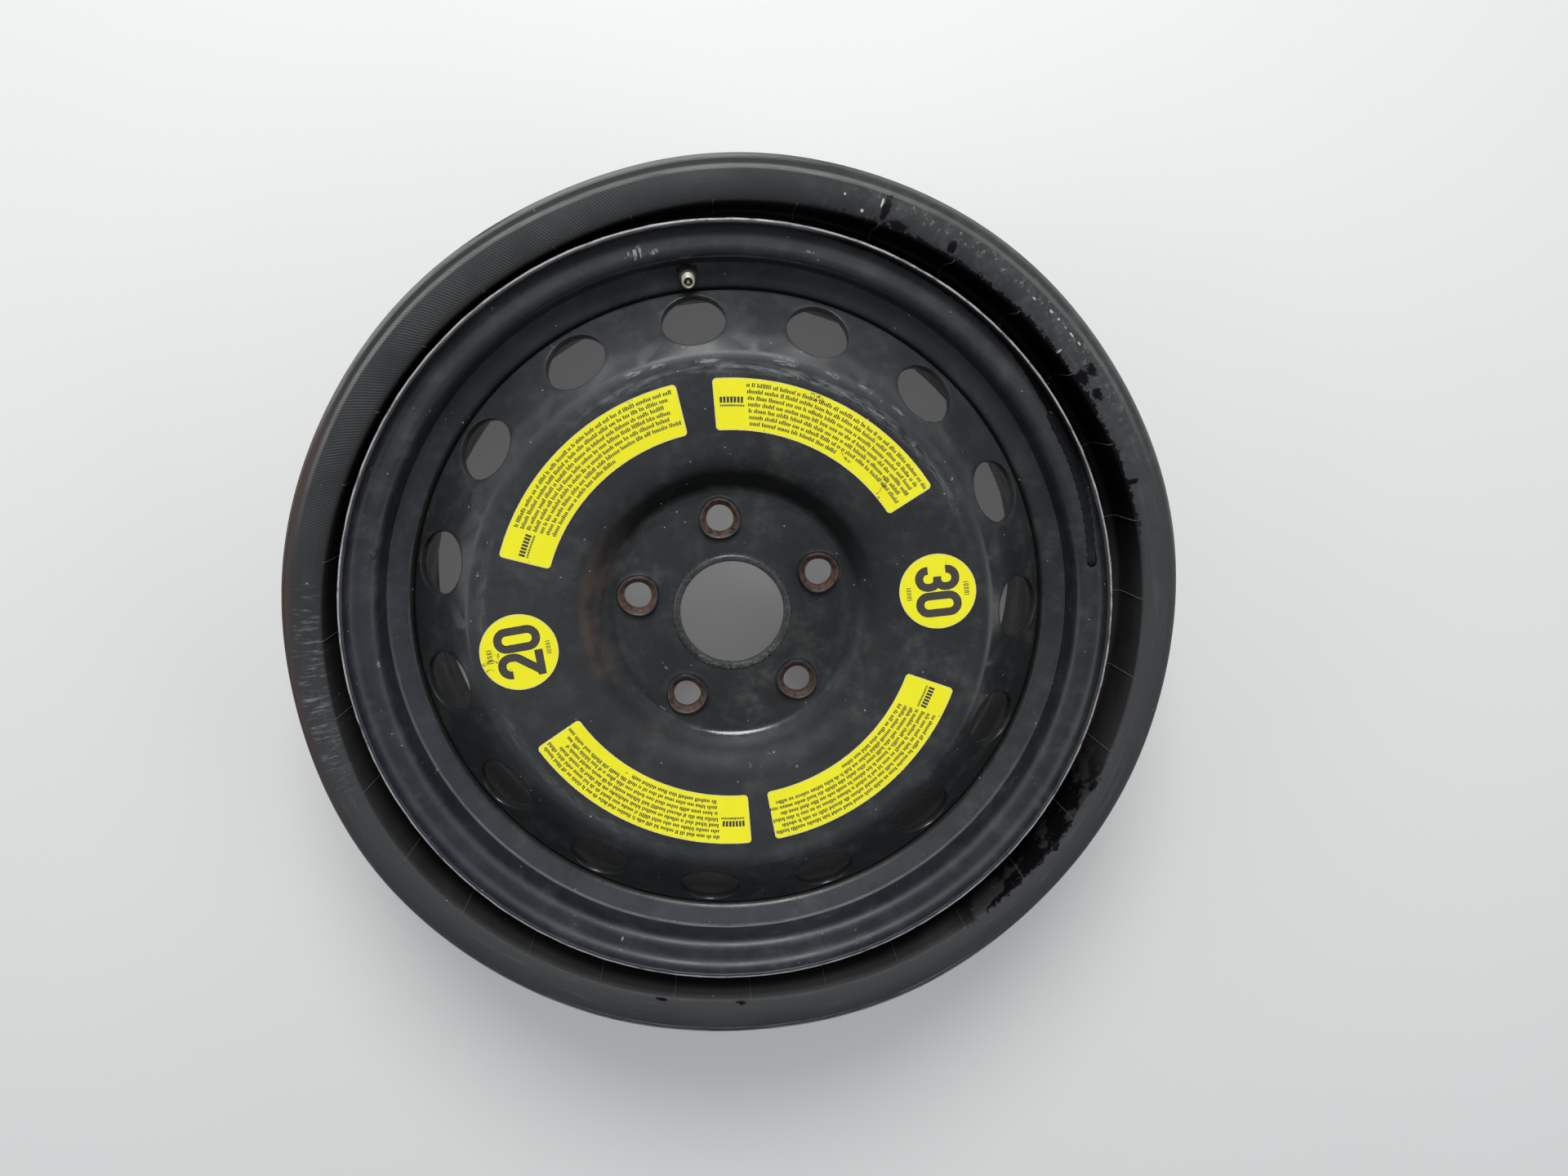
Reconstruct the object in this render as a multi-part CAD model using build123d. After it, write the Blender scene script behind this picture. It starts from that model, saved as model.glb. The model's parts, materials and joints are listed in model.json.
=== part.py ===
from build123d import *
import math
import os

# Space saver spare wheel: a pressed steel wheel with a collapsible tyre in its stored, folded state.
# The axle is Z, the outboard face looks up, and the hub's mounting face is at z = 0.
# The valve is on +Y. Sections are drawn as (radius, height) and turned about Z.

# Longest turn of one straight run where a sheet is bent
bend_run_deg = 31.0

# Rim barrel, rolled from one sheet
bead_seat_dia = 436.6
rim_width = 165.1
rim_sheet = 3.0
flange_height = 17.3
flange_overhang = 12.0
flange_curl = 9.5
seat_taper_deg = 5.0
outer_seat_width = 17.5
inner_seat_width = 50.0
ledge_slope_deg = 18.4
well_dia = 402.0
well_width = 50.0
wheel_offset = 65.0

# Wheel disc, pressed from one sheet
disc_sheet = 5.0
pad_dia = 156.0
crown_inner_dia = 188.0
crown_inner_height = 21.0
ridge_dia = 323.9
ridge_height = 28.0
cone_slope_deg = 40.0
skirt_length = 38.0
skirt_fit = 0.05
pad_bend = 7.0
crown_bend = 5.0
ridge_bend = 20.0
skirt_bend = 5.5

# Holes in the disc
hub_bore_dia = 65.1
bore_lip_width = 3.4
bore_lip_height = 1.6
bolt_count = 5
bolt_circle_dia = 120.0
bolt_hole_dia = 17.0
bolt_seat_dia = 23.0
bolt_seat_depth = 3.0
boss_top_dia = 25.4
boss_base_dia = 29.0
boss_height = 4.0
vent_count = 15
vent_circle_dia = 361.5
vent_dia = 38.4

# Welds between the skirt and the barrel
weld_count = 8
weld_sweep_deg = 24.0
weld_leg = 4.0

# Tyre, with its sidewalls folded in beside the flanges
tyre_dia = 556.0
tyre_bulge = 4.0
tread_thickness = 13.0
tread_groove_count = 3
tread_groove_pitch = 40.0
tread_groove_width = 9.0
tread_groove_depth = 5.0
shoulder_drop = 8.5
shoulder_width = 24.0
shoulder_runs = 3
band_width = 20.5
band_runs = 4
band_edge_drop = 3.0
fold_gap = 8.0
fold_depth = 34.0
fold_wall = 7.0
bead_width = 15.5
bead_fit = 0.15
bead_heel = 6.5
bead_toe_rise = 6.0

# Snap-in valve, upright on the rim's ledge; its heights count from the ledge's visible face
valve_radius = 208.6
valve_hole_dia = 9.2
valve_fit = 0.05
rubber_flange_dia = 14.0
rubber_flange_thickness = 3.2
rubber_bulb_dia = 12.8
rubber_tip_dia = 10.2
rubber_height = 9.5
stem_height = 19.0
stem_thread_dia = 7.7
stem_thread_length = 9.4
stem_tail_dia = 6.2
stem_tail_depth = 4.8
stem_bore_dia = 4.1
stem_tip_chamfer = 0.7
core_bore_dia = 5.3
core_seat_height = 10.4
core_seat_length = 1.0

# Valve core
plug_length = 5.0
plug_sink = 1.6
plug_hole_dia = 1.9
plug_slot_width = 1.3
plug_slot_depth = 1.8
barrel_dia = 3.5
barrel_bore_dia = 2.6
barrel_length = 8.8
barrel_floor = 1.0
barrel_floor_hole_dia = 1.5
pin_dia = 1.1
pin_head_dia = 1.6
pin_head_length = 0.7
pin_sink = 0.7
pin_collar_dia = 2.3
pin_collar_length = 0.8
spring_length = 5.4
spring_wire = 0.3
spring_turns = 5
cup_dia = 3.4
cup_depth = 1.4
cup_wall = 0.3
cup_floor = 0.4
seal_length = 1.2

# Labels on the crown
label_inner_radius = 114.45
label_outer_radius = 145.25
label_sweep_deg = 61.0
label_corner = 2.5
label_thickness = 0.25
label_lift = 0.05
round_label_dia = 47.0
right_label_radius = 127.45
left_label_radius = 131.45
label_places_deg = {
    "label_upper_right": 33.0,
    "label_lower_right": 146.1,
    "label_lower_left": 213.2,
    "label_upper_left": 323.4,
}
round_label_places = {
    "label_right_round": (90.0, right_label_radius),
    "label_left_round": (268.6, left_label_radius),
}

# Sizes that follow
bead_seat_radius = bead_seat_dia / 2
flange_radius = bead_seat_radius + flange_height
tread_radius = tyre_dia / 2
well_radius = well_dia / 2
skirt_radius = well_radius - rim_sheet - skirt_fit
centre_height = -wheel_offset
face_offset = rim_width / 2
lip_offset = face_offset + flange_overhang
seat_taper = math.tan(math.radians(seat_taper_deg))
ledge_slope = math.radians(ledge_slope_deg)
cone_slope = math.tan(math.radians(cone_slope_deg))
ridge_radius = ridge_dia / 2
vent_circle_radius = vent_circle_dia / 2
edge_height = ridge_height - (skirt_radius - ridge_radius) * cone_slope
skirt_end = edge_height - skirt_length
crown_slope = (ridge_height - crown_inner_height) / (ridge_radius - crown_inner_dia / 2)

# Heights along the valve core
plug_top = stem_height - plug_sink
plug_bottom = plug_top - plug_length
barrel_bottom = plug_bottom - barrel_length
spring_bottom = barrel_bottom + barrel_floor
spring_top = spring_bottom + spring_length
pin_top = stem_height - pin_sink
seal_top = barrel_bottom - valve_fit
seal_bottom = seal_top - seal_length
cup_bottom = seal_bottom - cup_floor


def polar(radius, angle_deg):
    """Point on the wheel face, with the angle clockwise from +Y."""
    angle = math.radians(angle_deg)
    return radius * math.sin(angle), radius * math.cos(angle)


def chords(arc, runs):
    """Points along an arc, which split it into equal straight runs."""
    return [arc @ (step / runs) for step in range(runs + 1)]


def bent_path(points, bends):
    """The points of a path, with each inner corner bent to its radius in short straight runs."""
    path = [Vector(*points[0])]
    for before, corner, after, bend in zip(points, points[1:], points[2:], bends):
        corner = Vector(*corner)
        to_before = (Vector(*before) - corner).normalized()
        to_after = (Vector(*after) - corner).normalized()
        opening_deg = to_before.get_angle(to_after)
        half_angle = math.radians(opening_deg) / 2
        if bend > 0:
            reach = bend / math.tan(half_angle)
            inward = (to_before + to_after).normalized()
            middle = corner + inward * (bend / math.sin(half_angle) - bend)
            arc = ThreePointArc(corner + to_before * reach, middle, corner + to_after * reach)
            path += chords(arc, math.ceil((180 - opening_deg) / bend_run_deg))
        else:
            path.append(corner)
    path.append(Vector(*points[-1]))
    return path


def right_side(points, bends, thickness):
    """Corner points and bends of the path that runs beside the given one, on its right."""
    rights = []
    for one, two in zip(points, points[1:]):
        run = (Vector(*two) - Vector(*one)).normalized()
        rights.append(Vector(run.Y, -run.X))
    side = [Vector(*points[0]) + rights[0] * thickness]
    side_bends = []
    for corner, first, second, bend in zip(points[1:], rights, rights[1:], bends):
        mitre = (first + second).normalized()
        side.append(Vector(*corner) + mitre * (thickness / mitre.dot(first)))
        turn = first.X * second.Y - first.Y * second.X
        change = thickness if turn > 0 else -thickness
        side_bends.append(max(bend + change, 0) if bend > 0 else 0)
    side.append(Vector(*points[-1]) + rights[-1] * thickness)
    return side, side_bends


def sheet_outline(points, bends, thickness):
    """Outline of a bent sheet's section, from the path of its left face."""
    return bent_path(points, bends) + bent_path(*right_side(points, bends, thickness))[::-1]


def turned_outline(*points, sweep_deg=360):
    """Solid made by turning a closed (radius, height) outline of straight runs about Z."""
    section = make_face(Polyline(*points, close=True))
    return revolve(Plane.XZ * section, Axis.Z, sweep_deg)


def rim_path():
    """Tyre side of the rim, from the outboard lip to the inboard lip, with the bend at each corner."""
    face = centre_height + face_offset
    back_face = centre_height - face_offset
    seat_end = face - outer_seat_width
    seat_end_radius = bead_seat_radius - outer_seat_width * seat_taper
    well_start = seat_end - (seat_end_radius - well_radius) * math.tan(ledge_slope)
    back_seat_end = back_face + inner_seat_width
    corners = [
        (flange_radius, centre_height + lip_offset, 0),
        (flange_radius, face, flange_curl),
        (bead_seat_radius, face, 0),
        (seat_end_radius, seat_end, 0),
        (well_radius, well_start, 0),
        (well_radius, well_start - well_width, 0),
        (bead_seat_radius - inner_seat_width * seat_taper, back_seat_end, 0),
        (bead_seat_radius, back_face, 0),
        (flange_radius, back_face, flange_curl),
        (flange_radius, centre_height - lip_offset, 0),
    ]
    points = [(radius, height) for radius, height, bend in corners]
    bends = [bend for radius, height, bend in corners[1:-1]]
    return points, bends


def valve_plane():
    """Plane on the visible face of the rim's ledge, square to the valve's axis."""
    points, bends = rim_path()
    seat_end_radius, seat_end = points[3]
    crossing = seat_end - (seat_end_radius - valve_radius) * math.tan(ledge_slope)
    axis = Vector(0, -math.sin(ledge_slope), math.cos(ledge_slope))
    return Plane(Vector(0, valve_radius, crossing) + axis * rim_sheet, x_dir=(1, 0, 0), z_dir=axis)


def rim_barrel():
    points, bends = rim_path()
    barrel = turned_outline(*sheet_outline(points, bends, rim_sheet))
    hole = Cylinder(valve_hole_dia / 2, 4 * rim_sheet)
    return barrel - valve_plane() * hole


def disc_path():
    """Front of the disc, from the bore to the skirt's end, with the bend at each corner."""
    corners = [
        (hub_bore_dia / 2, disc_sheet, 0),
        (pad_dia / 2, disc_sheet, pad_bend),
        (crown_inner_dia / 2, crown_inner_height, crown_bend),
        (ridge_radius, ridge_height, ridge_bend),
        (skirt_radius, edge_height, skirt_bend),
        (skirt_radius, skirt_end, 0),
    ]
    points = [(radius, height) for radius, height, bend in corners]
    bends = [bend for radius, height, bend in corners[1:-1]]
    return points, bends


def wheel_disc():
    points, bends = disc_path()
    disc = turned_outline(*sheet_outline(points, bends, disc_sheet))
    bore = hub_bore_dia / 2
    lip_top = disc_sheet + bore_lip_height
    disc += turned_outline(
        (bore, disc_sheet / 2),
        (bore + bore_lip_width + bore_lip_height, disc_sheet / 2),
        (bore + bore_lip_width + bore_lip_height, disc_sheet),
        (bore + bore_lip_width, lip_top),
        (bore, lip_top),
    )
    boss_top = disc_sheet + boss_height
    boss = turned_outline(
        (0, disc_sheet / 2),
        (boss_base_dia / 2, disc_sheet / 2),
        (boss_base_dia / 2, disc_sheet),
        (boss_top_dia / 2, boss_top),
        (0, boss_top),
    )
    bolt_hole = turned_outline(
        (0, -disc_sheet),
        (bolt_hole_dia / 2, -disc_sheet),
        (bolt_hole_dia / 2, boss_top - bolt_seat_depth),
        (bolt_seat_dia / 2, boss_top),
        (bolt_seat_dia / 2, boss_top + boss_height),
        (0, boss_top + boss_height),
    )
    bolt_places = PolarLocations(bolt_circle_dia / 2, bolt_count, start_angle=90)
    disc += bolt_places * boss
    disc -= bolt_places * bolt_hole
    vent_height = ridge_height - (vent_circle_radius - ridge_radius) * cone_slope
    vent = Pos(Z=vent_height) * Rot(Y=cone_slope_deg) * Cylinder(vent_dia / 2, 4 * disc_sheet)
    vent_places = PolarLocations(vent_circle_radius, vent_count, start_angle=90)
    return disc - vent_places * vent


def weld_beads():
    bead = turned_outline(
        (skirt_radius, skirt_end),
        (skirt_radius, skirt_end - weld_leg),
        (skirt_radius - weld_leg, skirt_end),
        sweep_deg=weld_sweep_deg,
    )
    return Compound(PolarLocations(0, weld_count) * bead)


def tread_points():
    """Points of the grooves across the tread, from the inboard to the outboard one."""
    points = []
    for number in range(tread_groove_count):
        middle = (number - (tread_groove_count - 1) / 2) * tread_groove_pitch
        low = middle - tread_groove_width / 2
        high = middle + tread_groove_width / 2
        floor = tread_radius - tread_groove_depth
        points += [(tread_radius, low), (floor, low), (floor, high), (tread_radius, high)]
    return points


def tyre_side():
    """Points of one folded side, from the edge of the tread over the fold and the bead to its underside."""
    crest = lip_offset + tyre_bulge
    band_edge = crest - band_edge_drop
    band_outer = tread_radius - shoulder_drop
    band_inner = band_outer - band_width
    fold_inner = band_inner - fold_gap
    shoulder = TangentArc((tread_radius, band_edge - shoulder_width), (band_outer, band_edge), tangent=(0, 1))
    band = ThreePointArc(shoulder @ 1, (band_outer - band_width / 2, crest), (band_inner, band_edge))
    fold_bottom = lip_offset - fold_depth
    flange_side = face_offset - bead_fit
    seat_radius = bead_seat_radius + bead_fit
    toe_radius = seat_radius - bead_width * seat_taper
    cavity_side = fold_bottom - fold_wall
    fold_and_bead = [
        (band_inner, fold_bottom),
        (fold_inner, fold_bottom),
        (fold_inner, flange_side - fold_wall),
        (flange_radius - flange_curl, flange_side),
        (seat_radius + bead_heel, flange_side),
        (seat_radius - bead_heel * seat_taper, flange_side - bead_heel),
        (toe_radius, flange_side - bead_width),
        (toe_radius + bead_toe_rise, flange_side - bead_width),
        (fold_inner - fold_wall, cavity_side),
        (tread_radius - tread_thickness, cavity_side),
    ]
    return chords(shoulder, shoulder_runs) + chords(band, band_runs)[1:] + fold_and_bead


def tyre():
    side = [Vector(*point) for point in tyre_side()]
    far_side = [Vector(point.X, -point.Y) for point in side]
    return Pos(Z=centre_height) * turned_outline(*tread_points(), *side, *far_side[::-1])


def valve_rubber():
    flange_top = -rim_sheet - valve_fit
    flange_bottom = flange_top - rubber_flange_thickness
    neck = valve_hole_dia / 2 - valve_fit
    bore = stem_tail_dia / 2 + valve_fit
    tail = -stem_tail_depth - valve_fit
    return turned_outline(
        (stem_bore_dia / 2, flange_bottom),
        (rubber_flange_dia / 2, flange_bottom),
        (rubber_flange_dia / 2, flange_top),
        (neck, flange_top),
        (neck, valve_fit),
        (rubber_bulb_dia / 2, valve_fit),
        (rubber_tip_dia / 2, rubber_height),
        (bore, rubber_height),
        (bore, tail),
        (stem_bore_dia / 2, tail),
    )


def valve_stem():
    thread_start = stem_height - stem_thread_length
    thread = stem_thread_dia / 2
    return turned_outline(
        (stem_bore_dia / 2, -stem_tail_depth),
        (stem_tail_dia / 2, -stem_tail_depth),
        (stem_tail_dia / 2, thread_start),
        (thread, thread_start),
        (thread, stem_height - stem_tip_chamfer),
        (thread - stem_tip_chamfer, stem_height),
        (core_bore_dia / 2, stem_height),
        (core_bore_dia / 2, core_seat_height + core_seat_length),
        (stem_bore_dia / 2, core_seat_height),
    )


def valve_core_plug():
    plug = turned_outline(
        (plug_hole_dia / 2, plug_bottom),
        (core_bore_dia / 2 - valve_fit, plug_bottom),
        (core_bore_dia / 2 - valve_fit, plug_top),
        (plug_hole_dia / 2, plug_top),
    )
    slot = Box(core_bore_dia, plug_slot_width, 2 * plug_slot_depth)
    return plug - Pos(Z=plug_top) * slot


def valve_core_gasket():
    inner = barrel_dia / 2 + valve_fit
    seat_rise = (core_bore_dia - stem_bore_dia) / 2 / core_seat_length
    bottom = core_seat_height + 2 * valve_fit
    shoulder = core_seat_height + core_seat_length + valve_fit
    outer = core_bore_dia / 2 - valve_fit
    return turned_outline(
        (inner, bottom),
        (outer - seat_rise * (shoulder - bottom), bottom),
        (outer, shoulder),
        (outer, plug_bottom - valve_fit),
        (inner, plug_bottom - valve_fit),
    )


def valve_core_barrel():
    return turned_outline(
        (barrel_floor_hole_dia / 2, barrel_bottom),
        (barrel_dia / 2, barrel_bottom),
        (barrel_dia / 2, plug_bottom),
        (barrel_bore_dia / 2, plug_bottom),
        (barrel_bore_dia / 2, spring_bottom),
        (barrel_floor_hole_dia / 2, spring_bottom),
    )


def valve_core_pin():
    shank = pin_dia / 2
    collar_top = spring_top + pin_collar_length
    return turned_outline(
        (0, seal_bottom),
        (shank, seal_bottom),
        (shank, spring_top),
        (pin_collar_dia / 2, spring_top),
        (pin_collar_dia / 2, collar_top),
        (shank, collar_top),
        (shank, pin_top - pin_head_length),
        (pin_head_dia / 2, pin_top - pin_head_length),
        (pin_head_dia / 2, pin_top),
        (0, pin_top),
    )


def valve_core_cup():
    outer = cup_dia / 2
    return turned_outline(
        (0, cup_bottom),
        (outer, cup_bottom),
        (outer, cup_bottom + cup_depth),
        (outer - cup_wall, cup_bottom + cup_depth),
        (outer - cup_wall, seal_bottom),
        (0, seal_bottom),
    )


def valve_core_seal():
    outer = cup_dia / 2 - cup_wall - valve_fit
    inner = pin_dia / 2 + valve_fit
    return turned_outline((inner, seal_bottom), (outer, seal_bottom), (outer, seal_top), (inner, seal_top))


def valve_core_spring():
    coil_radius = (pin_dia + barrel_bore_dia) / 4
    rise = spring_length - 2 * spring_wire
    helix = Helix(rise / spring_turns, rise, coil_radius)
    wire = Plane(helix @ 0, z_dir=helix % 0) * Rectangle(spring_wire, spring_wire)
    return Pos(Z=spring_bottom + spring_wire) * sweep(wire, helix, is_frenet=True)


def crown_height(radius):
    """Height of the crown's front face at a radius."""
    return crown_inner_height + (radius - crown_inner_dia / 2) * crown_slope


def label_film(inner, outer):
    """Thin film that follows the crown all round between two radii."""
    low = label_lift
    high = label_lift + label_thickness
    return turned_outline(
        (inner, crown_height(inner) + low),
        (outer, crown_height(outer) + low),
        (outer, crown_height(outer) + high),
        (inner, crown_height(inner) + high),
    )


def arc_label(middle_deg):
    start = 90 - label_sweep_deg / 2
    outer_arc = CenterArc((0, 0), label_outer_radius, start, label_sweep_deg)
    inner_arc = CenterArc((0, 0), label_inner_radius, start, label_sweep_deg)
    ends = [Line(inner_arc @ 0, outer_arc @ 0), Line(inner_arc @ 1, outer_arc @ 1)]
    outline = make_face([outer_arc, inner_arc] + ends)
    outline = fillet(outline.vertices(), label_corner)
    stamp = extrude(Rot(Z=-middle_deg) * outline, 2 * ridge_height)
    return label_film(label_inner_radius - label_corner, label_outer_radius + label_corner) & stamp


def round_label(angle_deg, radius):
    reach = round_label_dia / 2 + label_corner
    outline = Pos(*polar(radius, angle_deg)) * Circle(round_label_dia / 2)
    return label_film(radius - reach, radius + reach) & extrude(outline, 2 * ridge_height)


def all_parts():
    upright = valve_plane()
    parts = {
        "tyre": tyre(),
        "rim_barrel": rim_barrel(),
        "wheel_disc": wheel_disc(),
        "weld_beads": weld_beads(),
    }
    for make in (
        valve_rubber,
        valve_stem,
        valve_core_plug,
        valve_core_gasket,
        valve_core_barrel,
        valve_core_pin,
        valve_core_cup,
        valve_core_seal,
        valve_core_spring,
    ):
        parts[make.__name__] = upright * make()
    for name, middle_deg in label_places_deg.items():
        parts[name] = arc_label(middle_deg)
    for name, (angle_deg, radius) in round_label_places.items():
        parts[name] = round_label(angle_deg, radius)
    return parts


os.makedirs("parts", exist_ok=True)
for name, part in all_parts().items():
    export_step(part, "parts/" + name + ".step")
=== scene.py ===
import json
import math
import random

import bmesh
import bpy
from mathutils import Euler, Matrix, Vector


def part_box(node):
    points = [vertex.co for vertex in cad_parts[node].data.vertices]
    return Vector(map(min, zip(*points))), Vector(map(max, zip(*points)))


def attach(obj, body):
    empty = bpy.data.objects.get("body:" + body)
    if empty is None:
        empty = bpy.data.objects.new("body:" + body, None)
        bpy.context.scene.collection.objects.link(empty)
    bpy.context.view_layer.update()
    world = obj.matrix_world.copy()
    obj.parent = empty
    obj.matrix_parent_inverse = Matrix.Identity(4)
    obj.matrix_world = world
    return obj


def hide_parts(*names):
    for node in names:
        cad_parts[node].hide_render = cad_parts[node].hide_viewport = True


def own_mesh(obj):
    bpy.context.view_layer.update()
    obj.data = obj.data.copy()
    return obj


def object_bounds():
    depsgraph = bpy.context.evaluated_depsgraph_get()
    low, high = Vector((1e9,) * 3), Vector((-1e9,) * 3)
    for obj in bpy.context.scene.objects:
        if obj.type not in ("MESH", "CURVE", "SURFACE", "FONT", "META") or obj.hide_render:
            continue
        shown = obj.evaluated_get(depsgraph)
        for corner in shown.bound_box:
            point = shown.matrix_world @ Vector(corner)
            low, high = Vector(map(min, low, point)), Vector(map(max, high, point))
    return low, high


# Looks of the space saver spare wheel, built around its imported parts.
# Sizes are in millimetres and angles in degrees, clockwise from +Y, which is the valve's side.

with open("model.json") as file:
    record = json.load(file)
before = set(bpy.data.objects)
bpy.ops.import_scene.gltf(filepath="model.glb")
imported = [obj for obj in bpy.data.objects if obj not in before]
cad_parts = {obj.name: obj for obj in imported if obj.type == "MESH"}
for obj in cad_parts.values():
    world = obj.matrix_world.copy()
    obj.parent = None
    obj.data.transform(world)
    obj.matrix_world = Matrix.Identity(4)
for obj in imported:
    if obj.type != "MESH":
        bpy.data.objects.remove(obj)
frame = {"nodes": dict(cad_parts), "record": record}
cad_low, cad_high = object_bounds()
mounts = {mount["name"]: mount for mount in frame["record"]["mounts"]}

MM = 0.001

# Sizes read from the frame
floor_height = cad_low.z / MM
tread_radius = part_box("tyre")[1].x / MM
crest_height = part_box("tyre")[1].z / MM
flange_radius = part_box("rim_barrel")[1].x / MM
lip_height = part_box("rim_barrel")[1].z / MM
back_lip_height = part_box("rim_barrel")[0].z / MM
skirt_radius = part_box("wheel_disc")[1].x / MM
skirt_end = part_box("wheel_disc")[0].z / MM
bore_radius = mounts["hub_bore"]["dims"]["r_mm"]
bolt_circle_radius = mounts["wheel_bolts"]["dims"]["pcd_mm"] / 2
bolt_count = mounts["wheel_bolts"]["dims"]["count"]
bolt_hole_radius = mounts["wheel_bolts"]["dims"]["hole_r_mm"]
valve_axis = Vector(mounts["valve_thread"]["axis"])
valve_thread_middle = Vector(mounts["valve_thread"]["pos_m"])
valve_thread_radius = mounts["valve_thread"]["dims"]["r_mm"]
valve_thread_length = mounts["valve_thread"]["dims"]["length_mm"]
middle_height = (lip_height + back_lip_height) / 2

# Rim section
bead_seat_radius = flange_radius - 17.3
flange_overhang = 12.0
flange_curl = 9.5
rim_sheet = 3.0
lip_round = 0.9
seat_taper = math.tan(math.radians(5.0))
outer_seat_width = 17.5
inner_seat_width = 50.0
ledge_slope = math.tan(math.radians(18.4))
ledge_corner_radius = bead_seat_radius - outer_seat_width * seat_taper - rim_sheet
well_radius = bead_seat_radius - 17.3
well_width = 50.0
well_bend = 4.0
seat_bend = 4.0
lip_wear_depth = 2.5
lip_dent = 0.12
lip_wave = 0.1

# Disc section
disc_sheet = 5.0
pad_radius = 78.0
pad_bend = 8.0
crown_inner_radius = 94.0
crown_inner_height = 21.0
crown_bend = 30.0
ridge_radius = skirt_radius - 36.0
ridge_height = 28.0
ridge_bend = 20.0
cone_slope = math.tan(math.radians(40.0))
skirt_bend = 6.0
bore_lip_width = 3.4
bore_lip_height = 1.6
disc_edge = 0.6

# Holes in the disc
vent_count = 15
vent_circle_radius = skirt_radius - 17.2
vent_radius = 19.2
vent_edge = 0.7
vent_zone = (-25.0, 22.5)
boss_base_radius = 14.5
bolt_seat_radius = 11.5
boss_top_radius = 12.7
boss_height = 4.0
bolt_zone = (-21.0, 17.0)

# Tyre section
fold_inner = flange_radius + 5.4
band_inner = fold_inner + 8.0
band_outer = band_inner + 20.5
band_edge_drop = 3.0
band_edge_rise = 0.6
crest_rise = 0.15
shoulder_width = 24.0
tread_thickness = 13.0
tread_groove_pitch = 40.0
tread_groove_width = 9.0
tread_groove_depth = 5.0
fold_depth = 34.0
fold_wall = 7.0
tyre_fit = 0.15
bead_width = 15.5
bead_heel = 6.5
bead_toe_rise = 6.0
shoulder_edge = (2.2, 8.0)
shoulder_bend = 30.0
shoulder_edge_bend = 14.0
band_outer_bend = 9.0
crest_bend = 22.0
band_inner_bend = 2.2
fold_bend = 3.6
fold_top_bend = 4.0
bead_toe_bends = (1.5, 2.0)
cavity_bend = 6.0
groove_edge_bend = 0.8
groove_floor_bend = 1.2
sag_reach = (flange_radius + 4.0, flange_radius + 15.0)
lean_heights = (crest_height - 16.0, crest_height - 6.0)
lean_reach = (band_inner + 3.0, band_inner + 15.0)

# Raised lines that the mould left across the fold and along the shoulder
mould_line_count = 32
mould_line_start = 0.42
mould_line_width = 0.7
mould_line_height = 0.45
mould_line_root = -0.3
rib_share = (0.46, 0.6)
rib_height = 0.7
rib_foot_bend = 0.2
rib_top_bend = 0.25
hatch_pitch = (2.0, 2.4)

# Snap-in valve, with heights from the ledge of the rim
stem_height = 19.0
stem_tip_chamfer = 0.7
stem_bore_radius = 2.05
core_bore_radius = 2.65
core_seat_height = 10.4
core_seat_length = 1.0
stem_tail_radius = 3.1
stem_tail_depth = 4.8
thread_pitch = 0.8
thread_depth = 0.35
thread_run_out = 0.3
core_bore_chamfer = 0.3
valve_fit = 0.05
rubber_neck_radius = 4.55
rubber_bulb_radius = 6.4
rubber_tip_radius = 5.1
rubber_height = 9.5
rubber_flange_radius = 7.0
rubber_flange_thickness = 3.2
rubber_bulb_top = 2.5
rubber_bulb_taper = 0.2
rubber_cone_top = 4.5
rubber_flange_bends = (1.0, 0.6)
rubber_bulb_bends = (0.8, 1.5)
rubber_tip_bends = (2.0, 1.0)

# Print on the labels
film_top = 0.3
ink_thickness = 0.02
film_edge = 0.55
film_corner = 2.5
line_count = 7
line_pitch = 3.75
first_line_inset = 4.2
last_line_share = 0.55
text_start = 20.0
text_end_margin = 4.5
letter_width = 0.7
letter_gap = 0.36
word_gap = 1.0
low_letter = 1.8
high_letter = 2.5
heading_inset = 12.8
heading_start = 3.5
heading_letters = 7
heading_letter = (1.45, 3.6)
heading_gap = 0.6
small_line_gap = 0.4
small_letter = 1.2
line_end_range = (0.8, 2.2)
word_length_range = (2, 9)
numeral_half_width = 5.35
numeral_half_height = 11.45
numeral_stroke = 5.0
numeral_apart = 8.1
numeral_bend = 5.2
three_waist = 0.4
three_waist_start = -1.2
three_waist_bend = 4.6
two_waist_share = 0.2
two_waist_bend = 6.0
round_field_turn = (0.02, 0.98)
tick_count = 4
tick_gap = 0.9
tick_half_stroke = 0.19

# Pairs of ticks above and below a number, as (distance from the label's middle, width, height)
tick_rows = ((17.6, 1.3, 3.2), (-17.6, 1.2, 2.8))

# Heights between which a look fades in
inside_fade = (-18.0, -10.0)
lip_fade = (lip_height - 1.1, lip_height - 0.5)
shoulder_dust_fade = (crest_height - 15.0, crest_height - 10.0)
lit_fold_fade = (crest_height - 10.0, crest_height - 5.0)
wax_drop_fade = (crest_height - 9.0, crest_height - 4.0)

# Radii between which a look fades in, or fades out where the name says end
rim_start = (skirt_radius - 0.5, skirt_radius + 2.0)
dull_rim_start = (skirt_radius + 2.0, skirt_radius + 6.0)
cone_start = (ridge_radius, ridge_radius + 8.0)
lip_start = (flange_radius - 1.6, flange_radius - 1.0)
shoulder_start = (band_outer + 1.8, band_outer + 2.6)
brown_edge_start = (band_outer - 4.0, band_outer)
fold_end = (band_inner - 0.5, band_inner + 1.5)
band_shade_end = (band_inner + 1.0, band_inner + 13.0)
waxed_band_end = (band_inner + 2.4, band_inner + 3.2)
waxed_edge_end = (band_inner + 1.6, band_inner + 2.2)

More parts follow.
